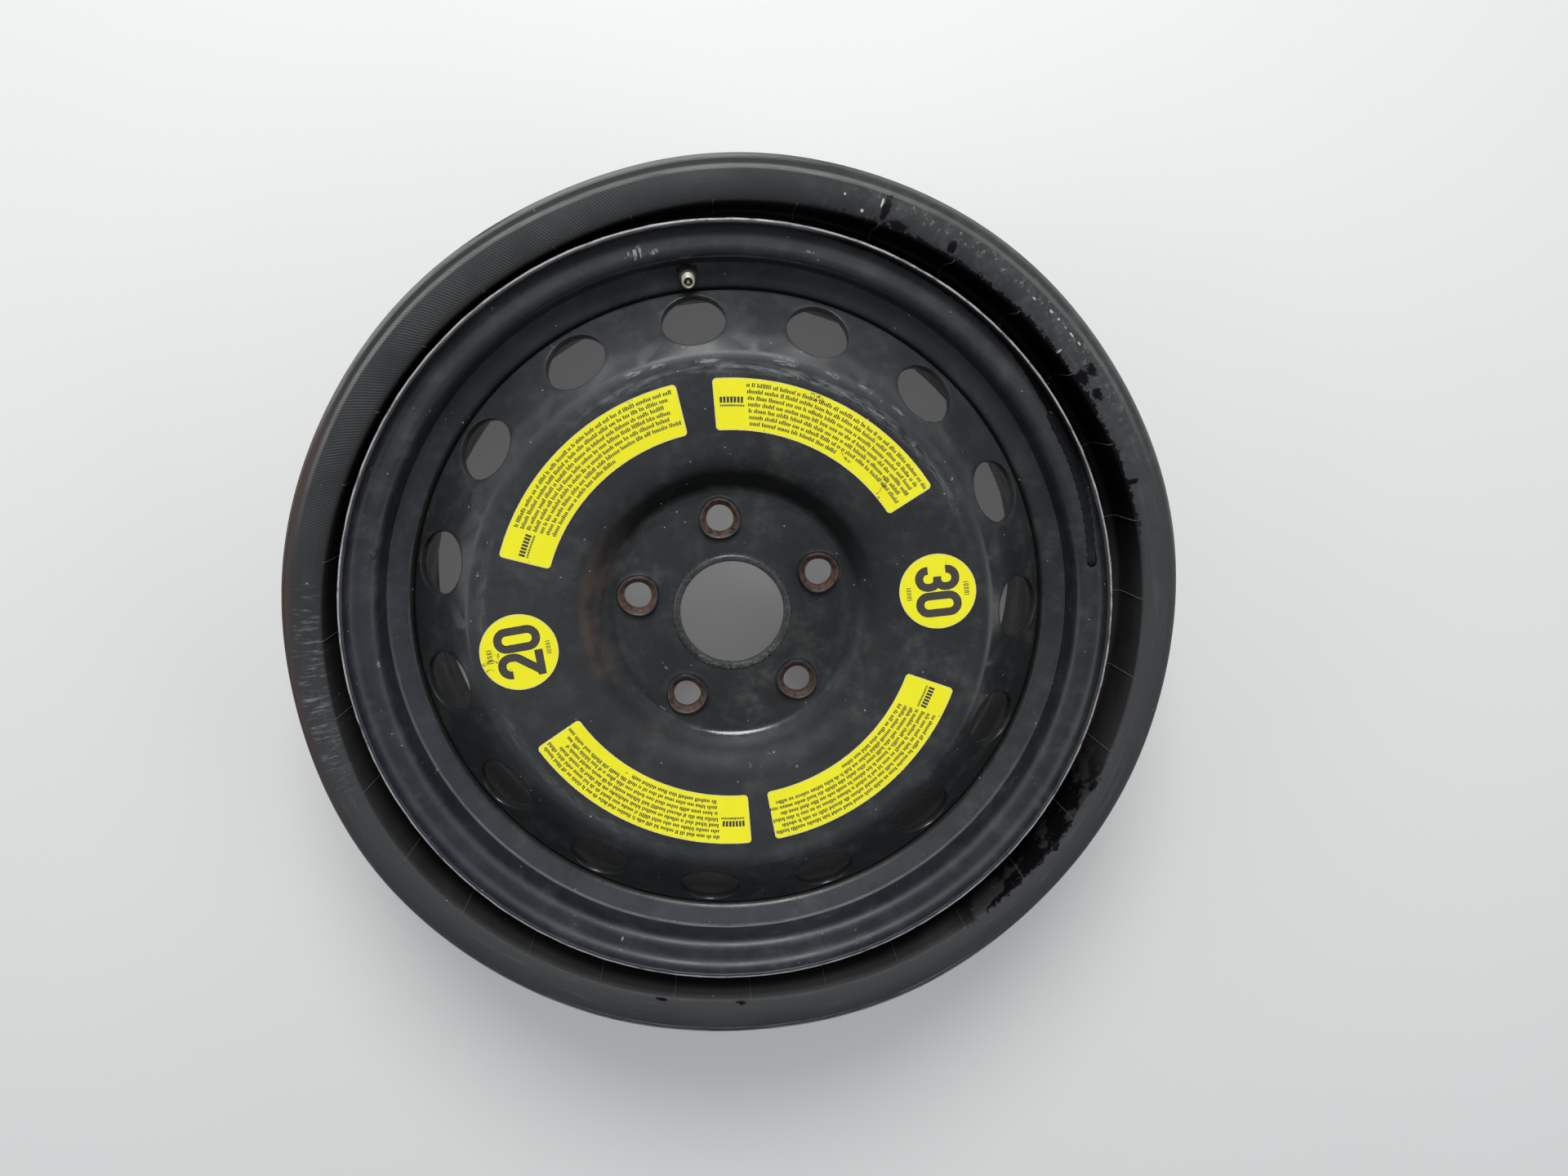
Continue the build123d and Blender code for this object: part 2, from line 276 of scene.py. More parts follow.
# Distances from the middle of a bolt hole between which the rust fades out
bolt_rust_end = (bolt_seat_radius - 0.4, boss_top_radius - 0.2)

# Rings of the wheel that a look covers, as (inner radius, outer radius, soft edge)
bore_ring = (bore_radius - 1.0, bore_radius + bore_lip_width + 1.8, 0.5)
dark_pad_ring = (bore_radius + 9.0, pad_radius - 7.0, 4.0)
pad_edge_ring = (pad_radius - 5.0, pad_radius + 2.0, 2.0)
dish_ring = (pad_radius + 1.0, crown_inner_radius - 3.0, 3.0)
brown_highlight_ring = (pad_radius + 2.0, crown_inner_radius, 4.0)
dull_bend_ring = (pad_radius + 6.0, crown_inner_radius + 14.0, 4.0)
crown_ring = (crown_inner_radius, ridge_radius, 8.0)
worn_lit_ridge_ring = (ridge_radius - 12.5, ridge_radius - 8.5, 3.0)
dull_ridge_ring = (ridge_radius - 7.0, ridge_radius + 9.0, 3.0)
seam_shade_ring = (skirt_radius + 0.4, skirt_radius + 2.2, 0.4)
pale_corner_ring = (ledge_corner_radius - 1.6, ledge_corner_radius - 0.3, 0.4)
wrinkled_ring = (band_inner + 2.0, band_outer - 3.0, 3.0)
hatched_ring = (band_inner + 3.0, band_outer - 1.0, 1.5)
flaked_ring = (band_inner + 10.0, band_outer - 4.0, 2.0)
pale_strip_ring = (band_outer - 4.0, band_outer - 1.4, 0.7)
low_edge_ring = (band_outer - 1.2, band_outer - 0.2, 0.4)
mould_rib_ring = (band_outer + 2.4, band_outer + 3.6, 0.35)

# Frayed edges of marks, and of the wax on flange and tyre
fray_depth = 3.0
spot_edge = (0.7, 1.05)
flange_wax_fray = 0.8
tyre_wax_fray = 4.0

# Wax edge and runs on the flange, through (angle, radius) places, and a run's (half width, height, taper)
wax_start = (42.0, flange_radius - 4.0)
wax_end = (60.0, flange_radius - 7.4)
wax_run = (
    (57.0, 229.2), (63.0, 229.2), (67.0, 229.0), (71.0, 228.6), (76.0, 227.6), (80.0, 226.4), (82.8, 226.1)
)
wax_run_size = (2.9, 0.4, 14.0)
paint_drop = ((-80.0, 218.6), (-78.2, 218.6))
paint_drop_size = (2.0, 0.5, 2.0)

# The drop at a run's end: where along the run it swells, and its width and height before and after that
drop_start = (0.8, 0.95)
drop_width = (0.9, 1.1)
drop_height = (1.0, 3.0)
run_fray = 0.25

# Stretches of the wheel that a look covers, as (middle, reach, soft edge) in the photograph's angles
lit_haze_at_left = (-110.0, 120.0, 40.0)
lit_haze_at_top = (8.0, 60.0, 30.0)
dull_rim_stretch = (-165.0, 105.0, 35.0)
rim_at_right = (100.0, 45.0, 25.0)
pale_corner_stretch = (-170.0, 65.0, 25.0)
brown_highlight_stretch = (-95.0, 40.0, 20.0)
dish_shade_stretch = (5.0, 65.0, 25.0)
ridge_at_top = (12.0, 45.0, 22.0)
ridge_at_left = (-110.0, 55.0, 20.0)
dull_ridge_stretch = (0.0, 70.0, 25.0)
bore_at_foot = (175.0, 60.0, 30.0)
pad_at_foot = (172.0, 46.0, 16.0)
dark_pad_stretch = (95.0, 55.0, 30.0)
waxed_flange = (40.0, 27.0, 4.0)
pale_tyre = (165.0, 95.0, 30.0)
dark_tyre = (-25.0, 60.0, 25.0)
shaded_band = (-20.0, 65.0, 20.0)
mottled_band = (44.0, 30.0, 10.0)
brown_fold = (120.0, 20.0, 14.0)
lit_fold = (180.0, 60.0, 25.0)
flaked_band = (40.0, 20.0, 8.0)
shoulder_at_left = (-35.0, 42.0, 12.0)
shoulder_at_right = (52.0, 40.0, 15.0)
strip_at_left = (-22.0, 48.0, 14.0)
strip_at_right = (40.0, 25.0, 12.0)
edge_at_foot = (172.0, 40.0, 8.0)
rib_at_left = (-35.0, 45.0, 12.0)
rib_at_foot = (178.0, 34.0, 10.0)
brown_edge = (-88.0, 26.0, 8.0)
wrinkled_band = (-99.0, 12.0, 5.0)
waxed_band = (46.0, 33.0, 7.0)
waxed_edge = (128.0, 15.0, 5.0)
hatched_band = (-40.0, 38.0, 6.0)

# Marks as (angle in the photograph, radius, half length along the circle, half width)
paint_chips = (
    (-14.0, 222.6, 6.0, 4.0),
    (-11.6, 221.2, 3.6, 1.8),
    (12.0, 222.7, 4.0, 0.8),
    (13.4, 219.3, 1.5, 0.8),
    (-97.2, 217.6, 1.9, 0.7),
    (-161.0, 223.0, 0.9, 1.8),
    (173.8, 96.4, 1.1, 2.2),
    (164.6, 91.9, 2.6, 0.7),
    (157.8, 104.1, 1.6, 1.1),
    (-39.6, 136.6, 2.0, 1.2),
    (-42.6, 136.5, 1.2, 2.2),
    (-130.3, 54.9, 1.3, 0.6),
    (-143.9, 76.0, 2.0, 0.5),
    (45.9, 152.7, 1.5, 1.5),
    (57.3, 157.8, 1.2, 1.2),
    (-79.5, 155.2, 2.6, 1.0),
)
ridge_scratches = (
    (11.4, 157.6, 9.0, 2.2),
    (-4.8, 155.4, 7.0, 1.4),
    (-16.0, 157.7, 5.0, 1.4),
    (-21.5, 158.0, 7.0, 1.6),
    (22.5, 158.4, 5.0, 1.2),
    (30.0, 160.0, 5.0, 1.6),
    (38.0, 160.5, 6.0, 1.2),
)
wax_drops = (
    (20.4, 258.7, 2.3, 8.5),
    (22.5, 253.0, 7.0, 3.5),
    (30.3, 255.5, 3.0, 3.0),
    (54.9, 260.2, 4.4, 3.2),
    (55.2, 254.2, 6.0, 3.6),
    (58.3, 256.5, 4.6, 2.6),
    (71.1, 252.4, 2.0, 4.2),
    (116.0, 250.0, 5.0, 1.6),
    (126.2, 251.0, 3.4, 2.4),
    (179.2, 251.6, 3.2, 1.9),
    (-169.2, 251.4, 3.8, 1.3),
)
pale_flecks = (
    (19.7, 260.6, 0.7, 2.0),
    (17.5, 254.4, 0.9, 0.7),
    (14.8, 259.5, 0.7, 0.7),
    (43.0, 260.1, 1.2, 0.6),
    (45.7, 261.8, 1.5, 0.6),
    (47.1, 262.1, 1.1, 1.0),
    (49.8, 262.1, 1.5, 0.5),
    (51.3, 262.6, 1.2, 0.5),
    (50.4, 252.3, 0.5, 1.8),
)

# Colours, as linear values
paint_dark = (0.0096, 0.0104, 0.011, 1)
paint_light = (0.018, 0.0194, 0.0204, 1)
paint_dust = (0.085, 0.082, 0.075, 1)
# Dust haze that also paints light on the crown's left and the cone's top
haze_and_painted_light = (0.078, 0.083, 0.088, 1)
# Mottled dust on the rim with a painted bluish sheen, greener at the right
rim_dust_and_sheen = (0.056, 0.068, 0.095, 1)
rim_dust_and_sheen_right = (0.06, 0.074, 0.08, 1)
# Painted brownish highlight on the slope at the left
painted_brown_highlight = (0.085, 0.06, 0.048, 1)
# Painted shade in the dish below the crown at the top, and in the seam round the disc
painted_shade_black = (0.003, 0.003, 0.003, 1)
# Dark brown grime and painted shade inside the wheel
inside_grime_and_shade = (0.0075, 0.0048, 0.004, 1)
# Pale worn paint, which on the ridge also paints its highlight
pale_wear_and_highlight = (0.24, 0.25, 0.25, 1)
chipped_paint = (0.4, 0.41, 0.41, 1)
bare_steel = (0.4, 0.38, 0.385, 1)
lip_rust = (0.15, 0.085, 0.075, 1)
worn_bore = (0.15, 0.152, 0.14, 1)
rust_dark = (0.03, 0.016, 0.012, 1)
rust_light = (0.115, 0.057, 0.038, 1)
wax_black = (0.004, 0.004, 0.0045, 1)
rubber_dark = (0.013, 0.0135, 0.0145, 1)
rubber_light = (0.032, 0.033, 0.035, 1)
rubber_dust = (0.23, 0.23, 0.22, 1)
rubber_brown = (0.05, 0.03, 0.025, 1)
rubber_scuff = (0.22, 0.22, 0.22, 1)
# Painted shade in the fold and along the band's inner edge
painted_fold_shade = (0.004, 0.0038, 0.0038, 1)
fold_brown = (0.014, 0.0098, 0.0085, 1)
# Painted light on the fold's upper wall at the foot
painted_fold_light = (0.042, 0.039, 0.037, 1)
pale_speck = (0.4, 0.4, 0.39, 1)
yellow_low = (0.74, 0.685, 0.008, 1)
yellow_high = (0.83, 0.775, 0.011, 1)
label_scratch = (0.05, 0.045, 0.02, 1)

# Plain finishes, as (darker colour, lighter colour, patches to a metre, roughness, metal, shine)
plain_finishes = {
    "valve_metal": ((0.4, 0.36, 0.28), (0.58, 0.53, 0.43), 300.0, 0.46, 0.55, 0.5),
    "core_metal": ((0.05, 0.044, 0.034), (0.1, 0.088, 0.07), 300.0, 0.5, 0.6, 0.5),
    "valve_rubber": ((0.012, 0.012, 0.012), (0.024, 0.024, 0.025), 200.0, 0.6, 0.0, 0.5),
    "spring_steel": ((0.4, 0.4, 0.4), (0.55, 0.55, 0.55), 400.0, 0.35, 1.0, 0.5),
    "pale_film": ((0.6, 0.55, 0.2), (0.68, 0.62, 0.26), 60.0, 0.45, 0.0, 0.5),
    "dark_ink": ((0.03, 0.025, 0.024), (0.05, 0.042, 0.04), 90.0, 0.55, 0.0, 0.5),
    "mould_flash": ((0.06, 0.055, 0.05), (0.16, 0.15, 0.14), 90.0, 0.6, 0.0, 0.5),
    "black_wax": ((0.003, 0.003, 0.0035), (0.006, 0.006, 0.0065), 150.0, 0.13, 0.0, 0.35),
}

# How much the clean paint and rubber mirror
paint_shine = 0.5
rubber_shine = 0.35

# Mesh fineness
disc_columns = 360
rim_columns = 360
tyre_columns = 400
tyre_bend_slack = 0.05
bend_step_deg = 9.0
bolt_side_steps = 16
bolt_layers = 8
vent_side_steps = 8
vent_layers = 7
hole_columns = 48
valve_columns = 64
thread_rows = 8
run_steps = 12
field_steps = 64
field_corner_steps = 6
round_field_steps = 48
longest_stroke_step = 3.0
least_step = 0.01

# Camera, fitted to the photograph
camera_place = (3.75, 143.99, 721.6)
camera_turn_deg = (-10.132, -3.705, -6.964)
camera_lens = 26.625
camera_sensor = 36.0

# Surrounding: its colour, the side that its light comes from, and its strength away from that side and on it
sky_colour = (0.88, 0.94, 1.0, 1)
sky_side = (0.0, 0.93, 0.37)
sky_fade = (-0.4, 0.8)
sky_dark = 0.09
sky_bright = 0.7

# Floor, and lamps as (name, size in metres, watts, place in metres)
floor_low = (0.74, 0.735, 0.72, 1)
floor_high = (0.78, 0.775, 0.76, 1)
floor_glow = (0.8, 0.8, 0.79, 1)
floor_glow_share = 0.1
floor_reach = 20.0
lamps = (
    ("lamp_above", 0.8, 27.0, (0.1, 1.25, 1.35)),
    ("lamp_left", 1.2, 5.0, (-1.6, 0.2, 1.1)),
    ("lamp_right", 1.2, 6.0, (1.5, -0.6, 1.3)),
)

# The photograph's upright is turned by this angle from +Y
photo_turn_deg = 7.0


def polar(radius, height, angle_deg):
    """Point in metres at an angle clockwise from +Y."""
    angle = math.radians(angle_deg)
    return Vector((radius * math.sin(angle), radius * math.cos(angle), height)) * MM


def smooth_step(value, low, high):
    share = min(max((value - low) / (high - low), 0.0), 1.0)
    return share * share * (3 - 2 * share)


def lerp(one, two, share):
    return one + (two - one) * share


def rounded(corners, closed, slack=0.0):
    """Points of a path through (radius, height, bend) corners, whose arcs may stray by slack."""
    points = []
    count = len(corners)
    for index, (radius, height, bend) in enumerate(corners):
        corner = Vector((radius, height))
        is_end = not closed and index in (0, count - 1)
        if is_end or bend <= 0:
            points.append(corner)
            continue
        before = Vector(corners[index - 1][:2])
        after = Vector(corners[(index + 1) % count][:2])
        to_before = (before - corner).normalized()
        to_after = (after - corner).normalized()
        half = to_before.angle(to_after) / 2
        centre = corner + (to_before + to_after).normalized() * (bend / math.sin(half))
        start = corner + to_before * (bend / math.tan(half)) - centre
        turn = start.angle_signed(corner + to_after * (bend / math.tan(half)) - centre)
        step_deg = max(bend_step_deg, 2 * math.degrees(math.acos(max(1 - slack / bend, 0.0))))
        steps = max(2, math.ceil(math.degrees(abs(turn)) / step_deg))
        for step in range(steps + 1):
            angle = -turn * step / steps
            spun = Vector((
                start.x * math.cos(angle) - start.y * math.sin(angle),
                start.x * math.sin(angle) + start.y * math.cos(angle),
            ))
            points.append(centre + spun)
    return points


def right_side(corners, thickness):
    """Corners of the path that runs beside the given one, on its right."""
    rights = []
    for one, two in zip(corners, corners[1:]):
        run = (Vector(two[:2]) - Vector(one[:2])).normalized()
        rights.append(Vector((run.y, -run.x)))
    first = Vector(corners[0][:2]) + rights[0] * thickness
    side = [(first.x, first.y, corners[0][2])]
    for corner, one, two in zip(corners[1:], rights, rights[1:]):
        mitre = (one + two).normalized()
        place = Vector(corner[:2]) + mitre * (thickness / mitre.dot(one))
        turn = one.x * two.y - one.y * two.x
        bend = corner[2] + (thickness if turn > 0 else -thickness) if corner[2] > 0 else 0
        side.append((place.x, place.y, max(bend, 0)))
    last = Vector(corners[-1][:2]) + rights[-1] * thickness
    side.append((last.x, last.y, corners[-1][2]))
    return side


class Shape:
    """Vertices and faces of one mesh, gathered row by row."""

    def __init__(self):
        self.points = []
        self.faces = []

    def row(self, points):
        start = len(self.points)
        self.points += points
        return list(range(start, len(self.points)))

    def join(self, one, two):
        """Faces between two closed rings."""
        for index in range(len(one)):
            after = (index + 1) % len(one)
            self.faces.append((one[index], one[after], two[after], two[index]))

    def loft(self, rings, closed):
        """Joins rings in their order, with flat ends if the last doesn't meet the first."""
        for one, two in zip(rings, rings[1:]):
            self.join(one, two)
        if closed:
            self.join(rings[-1], rings[0])
        else:
            self.faces += [tuple(rings[0][::-1]), tuple(rings[-1])]

    def make(self, name, material, sharp_deg=40.0, place=Matrix()):
        mesh = bpy.data.meshes.new(name)
        mesh.from_pydata(self.points, [], self.faces)
        mesh.transform(place)
        mesh.validate()
        solid = bmesh.new()
        solid.from_mesh(mesh)
        bmesh.ops.recalc_face_normals(solid, faces=solid.faces)
        solid.to_mesh(mesh)
        solid.free()
        mesh.shade_smooth()
        mesh.set_sharp_from_angle(angle=math.radians(sharp_deg))
        mesh.materials.append(material)
        piece = bpy.data.objects.new(name, mesh)
        bpy.context.scene.collection.objects.link(piece)
        return piece


def no_shift(radius, height, angle_deg):
    return radius, height


def turn_outline(shape, outline, columns, shift=no_shift, closed=True):
    """Turns an outline of (radius, height) points about Z, with flat ends if it isn't closed."""
    rows = []
    for radius, height in outline:
        ring = []
        for column in range(columns):
            angle_deg = 360 * column / columns
            ring.append(polar(*shift(radius, height, angle_deg), angle_deg))
        rows.append(shape.row(ring))
    shape.loft(rows, closed)


class Finish:
    """A material's node tree, with short calls for the nodes that the finishes use."""

    def __init__(self, name):
        self.material = bpy.data.materials.new(name)
        self.material.use_nodes = True
        self.nodes = self.material.node_tree.nodes
        self.links = self.material.node_tree.links
        self.shader = self.nodes["Principled BSDF"]
        self.place = self.nodes.new("ShaderNodeTexCoord").outputs["Object"]

    def put(self, socket, value):
        if isinstance(value, bpy.types.NodeSocket):
            self.links.new(value, socket)
        else:
            socket.default_value = value

    def set(self, **values):
        """Sets the shader's inputs by name, with _ for a space."""
        for name, value in values.items():
            self.put(self.shader.inputs[name.replace("_", " ")], value)

    def math(self, operation, *values):
        node = self.nodes.new("ShaderNodeMath")
        node.operation = operation
        for socket, value in zip(node.inputs, values):
            self.put(socket, value)
        return node.outputs[0]

    def all_of(self, *values):
        """Product of several shares."""
        result = values[0]
        for value in values[1:]:
            result = self.math("MULTIPLY", result, value)
        return result

    def most_of(self, *values):
        """Largest of several shares."""
        result = values[0]
        for value in values[1:]:
            result = self.math("MAXIMUM", result, value)
        return result

    def strongest_of(self, *parts):
        """Largest of several shares, each times its strength."""
        return self.most_of(*[self.all_of(share, strength) for share, strength in parts])

    def spread(self, value, low, high, to_low=0.0, to_high=1.0):
        """A value's way from one number to another, as a smooth step between two others."""
        node = self.nodes.new("ShaderNodeMapRange")
        node.interpolation_type = "SMOOTHSTEP"
        for socket, item in zip(node.inputs, (value, low, high, to_low, to_high)):
            self.put(socket, item)
        return node.outputs[0]

    def rest_of(self, share):
        """What a share leaves of the whole."""
        return self.math("SUBTRACT", 1.0, share)

    def fall(self, value, low, high):
        """Share that falls from 1 to 0 between two values."""
        return self.spread(value, low, high, 1.0, 0.0)

    def noise(self, place, scale, detail=4.0, roughness=0.6):
        node = self.nodes.new("ShaderNodeTexNoise")
        self.put(node.inputs["Vector"], place)
        self.put(node.inputs["Scale"], scale)
        self.put(node.inputs["Detail"], detail)
        self.put(node.inputs["Roughness"], roughness)
        return node.outputs["Fac"]

    def patches(self, scale, edge, detail=4.0, roughness=0.6, span=(0.0, 1.0)):
        """Uneven patches: how many to a metre, and the two values of the noise between which they fade in."""
        return self.spread(self.noise(self.place, scale, detail, roughness), *edge, *span)

    def streaks(self, size, edge, detail, roughness=0.6, span=(0.0, 1.0)):
        """Uneven streaks round the wheel, of a length and a width in millimetres."""
        return self.spread(self.noise(self.along(*size), 1.0, detail, roughness), *edge, *span)

    def cells(self, place, scale):
        """Distance to the nearest of scattered points, and a number for that point."""
        node = self.nodes.new("ShaderNodeTexVoronoi")
        self.put(node.inputs["Vector"], place)
        self.put(node.inputs["Scale"], scale)
        parts = self.nodes.new("ShaderNodeSeparateColor")
        self.links.new(node.outputs["Color"], parts.inputs[0])
        return node.outputs["Distance"], parts.outputs[0]

    def vector(self, x, y, z):
        node = self.nodes.new("ShaderNodeCombineXYZ")
        for socket, value in zip(node.inputs, (x, y, z)):
            self.put(socket, value)
        return node.outputs[0]

    def mix(self, share, one, two):
        node = self.nodes.new("ShaderNodeMix")
        node.data_type = "RGBA"
        self.put(node.inputs["Factor"], share)
        for socket, value in zip((node.inputs[6], node.inputs[7]), (one, two)):
            self.put(socket, value)
        return node.outputs[2]

    def tint(self, colour, share, strength=1.0):
        """Lays a colour over the finish's colour."""
        self.colour = self.mix(self.all_of(share, strength), self.colour, colour)

    def roughen(self, share, amount):
        """Adds to the finish's roughness."""
        self.rough = self.math("ADD", self.rough, self.all_of(share, amount))

    def bump(self, height, distance):
        """Relief of a depth in millimetres."""
        node = self.nodes.new("ShaderNodeBump")
        self.put(node.inputs["Height"], height)
        node.inputs["Distance"].default_value = distance * MM
        node.inputs["Strength"].default_value = 1.0
        self.links.new(node.outputs[0], self.shader.inputs["Normal"])

    def stored(self, name):
        """A number that the mesh holds for each of its points."""
        node = self.nodes.new("ShaderNodeAttribute")
        node.attribute_name = name
        return node.outputs["Fac"]

    def length_of(self, one, two):
        """Length of a line from its two sides."""
        squares = self.math("ADD", self.math("MULTIPLY", one, one), self.math("MULTIPLY", two, two))
        return self.math("SQRT", squares)

    def polar(self):
        """Radius and height in millimetres, and the angle clockwise from the photograph's upright."""
        parts = self.nodes.new("ShaderNodeSeparateXYZ")
        self.links.new(self.place, parts.inputs[0])
        x, y, z = parts.outputs
        flat = self.length_of(x, y)
        angle = self.math("DEGREES", self.math("ARCTAN2", x, y))
        upright = self.math("SUBTRACT", angle, photo_turn_deg)
        self.radius = self.math("DIVIDE", flat, MM)
        self.height = self.math("DIVIDE", z, MM)
        self.angle = self.math("WRAP", upright, 180.0, -180.0)
        self.around_x = self.math("DIVIDE", x, flat)
        self.around_y = self.math("DIVIDE", y, flat)

    def along(self, length, width):
        """Place for streaks that run round the wheel, of a length and a width in millimetres."""
        stretch = flange_radius / length
        return self.vector(
            self.math("MULTIPLY", self.around_x, stretch),
            self.math("MULTIPLY", self.around_y, stretch),
            self.math("DIVIDE", self.radius, width),
        )

    def turn_from(self, angle_deg):
        """Angle from one of the photograph's angles, from -180 to 180."""
        return self.math("WRAP", self.math("SUBTRACT", self.angle, angle_deg), 180.0, -180.0)

    def at(self, stretch):
        """Share of the wheel in a stretch of the photograph's angles."""
        middle, reach, soft = stretch
        apart = self.math("ABSOLUTE", self.turn_from(middle))
        return self.fall(apart, reach - soft, reach + soft)

    def on(self, ring):
        """Share of the wheel on a ring."""
        low, high, soft = ring
        rise = self.spread(self.radius, low - soft, low + soft)
        return self.math("MULTIPLY", rise, self.fall(self.radius, high - soft, high + soft))

    def beyond(self, start):
        """Share of the wheel outside a radius."""
        return self.spread(self.radius, *start)

    def ragged(self, scale):
        """Uneven number about zero that frays the edge of a mark."""
        about_zero = self.math("SUBTRACT", self.noise(self.place, scale, 5.0, 0.8), 0.5)
        return self.math("MULTIPLY", about_zero, fray_depth)

    def spot(self, angle_deg, radius, half_length, half_width, ragged):
        """A mark with a frayed edge."""
        along = self.math("MULTIPLY", self.turn_from(angle_deg), math.radians(radius) / half_length)
        across = self.math("DIVIDE", self.math("SUBTRACT", self.radius, radius), half_width)
        return self.fall(self.math("ADD", self.length_of(along, across), ragged), *spot_edge)

    def spots(self, marks, ragged):
        """All the marks of a table."""
        return self.most_of(*[self.spot(*mark, ragged) for mark in marks])

    def specks(self, scale, size, share):
        """Scattered dots: how many to a metre, their size and the share of cells that hold one."""
        distance, number = self.cells(self.place, scale)
        dot = self.fall(distance, size / 2, size)
        return self.math("MULTIPLY", dot, self.math("LESS_THAN", number, share))


def paint_haze_and_painted_shade(finish):
    """Dust haze with painted light on crown and cone, dust with a painted sheen on the rim, a pale line in
    the ledge's corner, a painted brownish highlight on the slope, painted shade in the dish, grime and
    painted shade inside the wheel, painted shade in the seam, and the dulled places by name.
    """
    # Dust haze, partly painted light: it lightens the crown at the left and the cone at the top, where the
    # light falls
    haze_and_painted_light_share = finish.all_of(
        finish.most_of(
            finish.all_of(finish.at(lit_haze_at_left), finish.on(crown_ring), 0.14),
            finish.all_of(finish.at(lit_haze_at_top), finish.beyond(cone_start), 0.3),
        ),
        finish.patches(18.0, (0.25, 0.7), 5.0, span=(0.5, 1.0)),
    )
    finish.tint(haze_and_painted_light, haze_and_painted_light_share)
    # Dust mottling on the rim at the left and foot, with a painted bluish sheen
    dull_rim_and_sheen = finish.all_of(finish.beyond(dull_rim_start), finish.at(dull_rim_stretch))
    rim_tone = finish.mix(finish.at(rim_at_right), rim_dust_and_sheen, rim_dust_and_sheen_right)
    rim_mottle = finish.patches(48.0, (0.35, 0.68), 6.0, 0.75, span=(0.12, 0.27))
    finish.tint(rim_tone, finish.all_of(dull_rim_and_sheen, rim_mottle))
    # A pale streaked line along the ledge's inner corner, towards the foot
    pale_corner_line = finish.all_of(
        finish.on(pale_corner_ring),
        finish.at(pale_corner_stretch),
        finish.streaks((25.0, 4.0), (0.3, 0.6), 5.0, 0.7, span=(0.1, 0.4)),
    )
    finish.tint(pale_wear_and_highlight, pale_corner_line)
    # Painted brownish highlight on the dish's slope at the left
    brown = finish.all_of(
        finish.on(brown_highlight_ring),
        finish.at(brown_highlight_stretch),
        finish.patches(40.0, (0.35, 0.65), 5.0),
    )
    finish.tint(painted_brown_highlight, brown, 0.5)
    # Painted shade on the dish's upper slope, under the crown
    dish = finish.all_of(finish.on(dish_ring), finish.at(dish_shade_stretch))
    finish.tint(painted_shade_black, dish, 0.75)
    # Dark brown grime and painted shade on the inside of the wheel, behind the disc's front
    inside = finish.fall(finish.height, *inside_fade)
    finish.tint(inside_grime_and_shade, inside, 0.8)
    # Painted shade in the seam between the disc's edge and the rim
    seam = finish.on(seam_shade_ring)
    finish.tint(painted_shade_black, seam)
    return {"rim": dull_rim_and_sheen, "dish": dish, "inside": inside, "seam": seam}


def paint_wear(finish, ragged):
    """The ridge's worn paint with a painted highlight, mostly at the top, and the chips, scratches and
    specks.
    """
    # Worn paint and a painted highlight along the ridge, mostly at the top
    worn_and_lit_ridge = finish.all_of(
        finish.on(worn_lit_ridge_ring),
        finish.streaks((16.0, 2.0), (0.38, 0.64), 6.0, 0.75),
        finish.streaks((70.0, 30.0), (0.3, 0.6), 3.0, span=(0.2, 1.0)),
        finish.most_of(finish.at(ridge_at_top), finish.all_of(finish.at(ridge_at_left), 0.4), 0.08),
    )
    finish.tint(pale_wear_and_highlight, worn_and_lit_ridge, 0.62)
    chips = finish.all_of(
        finish.spots(paint_chips, ragged), finish.streaks((1.1, 6.0), (0.47, 0.6), 4.0, 0.7)
    )
    scratches = finish.all_of(
        finish.spots(ridge_scratches, ragged), finish.streaks((10.0, 0.9), (0.4, 0.6), 4.0, 0.7), 0.6
    )
    specks = finish.most_of(finish.specks(95.0, 0.07, 0.16), finish.specks(230.0, 0.12, 0.07))
    marks = finish.all_of(finish.most_of(chips, specks, scratches), 0.65)
    finish.tint(chipped_paint, marks)
    return worn_and_lit_ridge, marks


def flange_wax(finish, ragged):
    """Black wax that covers the flange beyond a frayed edge."""
    wax_edge = finish.math("ADD", finish.radius, finish.all_of(ragged, flange_wax_fray))
    wax_limit = finish.spread(finish.angle, wax_start[0], wax_end[0], wax_start[1], wax_end[1])
    wax = finish.all_of(
        finish.at(waxed_flange),
        finish.spread(finish.math("SUBTRACT", wax_edge, wax_limit), 0.0, 0.7),
        finish.spread(finish.height, middle_height, lip_height - flange_overhang),
    )
    finish.tint(wax_black, wax)
    return wax


def bare_lip(finish):
    """Steel and rust along the edge of the flange."""
    lip = finish.all_of(
        finish.spread(finish.height, *lip_fade),
        finish.beyond(lip_start),
        finish.streaks((16.0, 2.0), (0.26, 0.56), 6.0, 0.8),
    )
    rusty = finish.streaks((12.0, 6.0), (0.52, 0.68), 5.0, 0.7)
    finish.tint(finish.mix(rusty, bare_steel, lip_rust), lip, 0.85)
    return lip


def bolt_rust(finish, rust_break):
    """Rust in and round the bolt seats."""
    rust = finish.all_of(
        finish.fall(bolt_distance(finish), *bolt_rust_end),
        finish.spread(rust_break, 0.36, 0.56),
    )
    finish.tint(finish.mix(rust_break, rust_dark, rust_light), rust)
    return rust


def bore_wear(finish):
    """Worn edge of the bore, more so at the photograph's foot."""
    bore = finish.all_of(
        finish.on(bore_ring),
        finish.patches(700.0, (0.44, 0.64), 4.0, 0.8),
        finish.most_of(finish.all_of(finish.at(bore_at_foot), 0.6), 0.3),
    )
    finish.tint(worn_bore, bore)


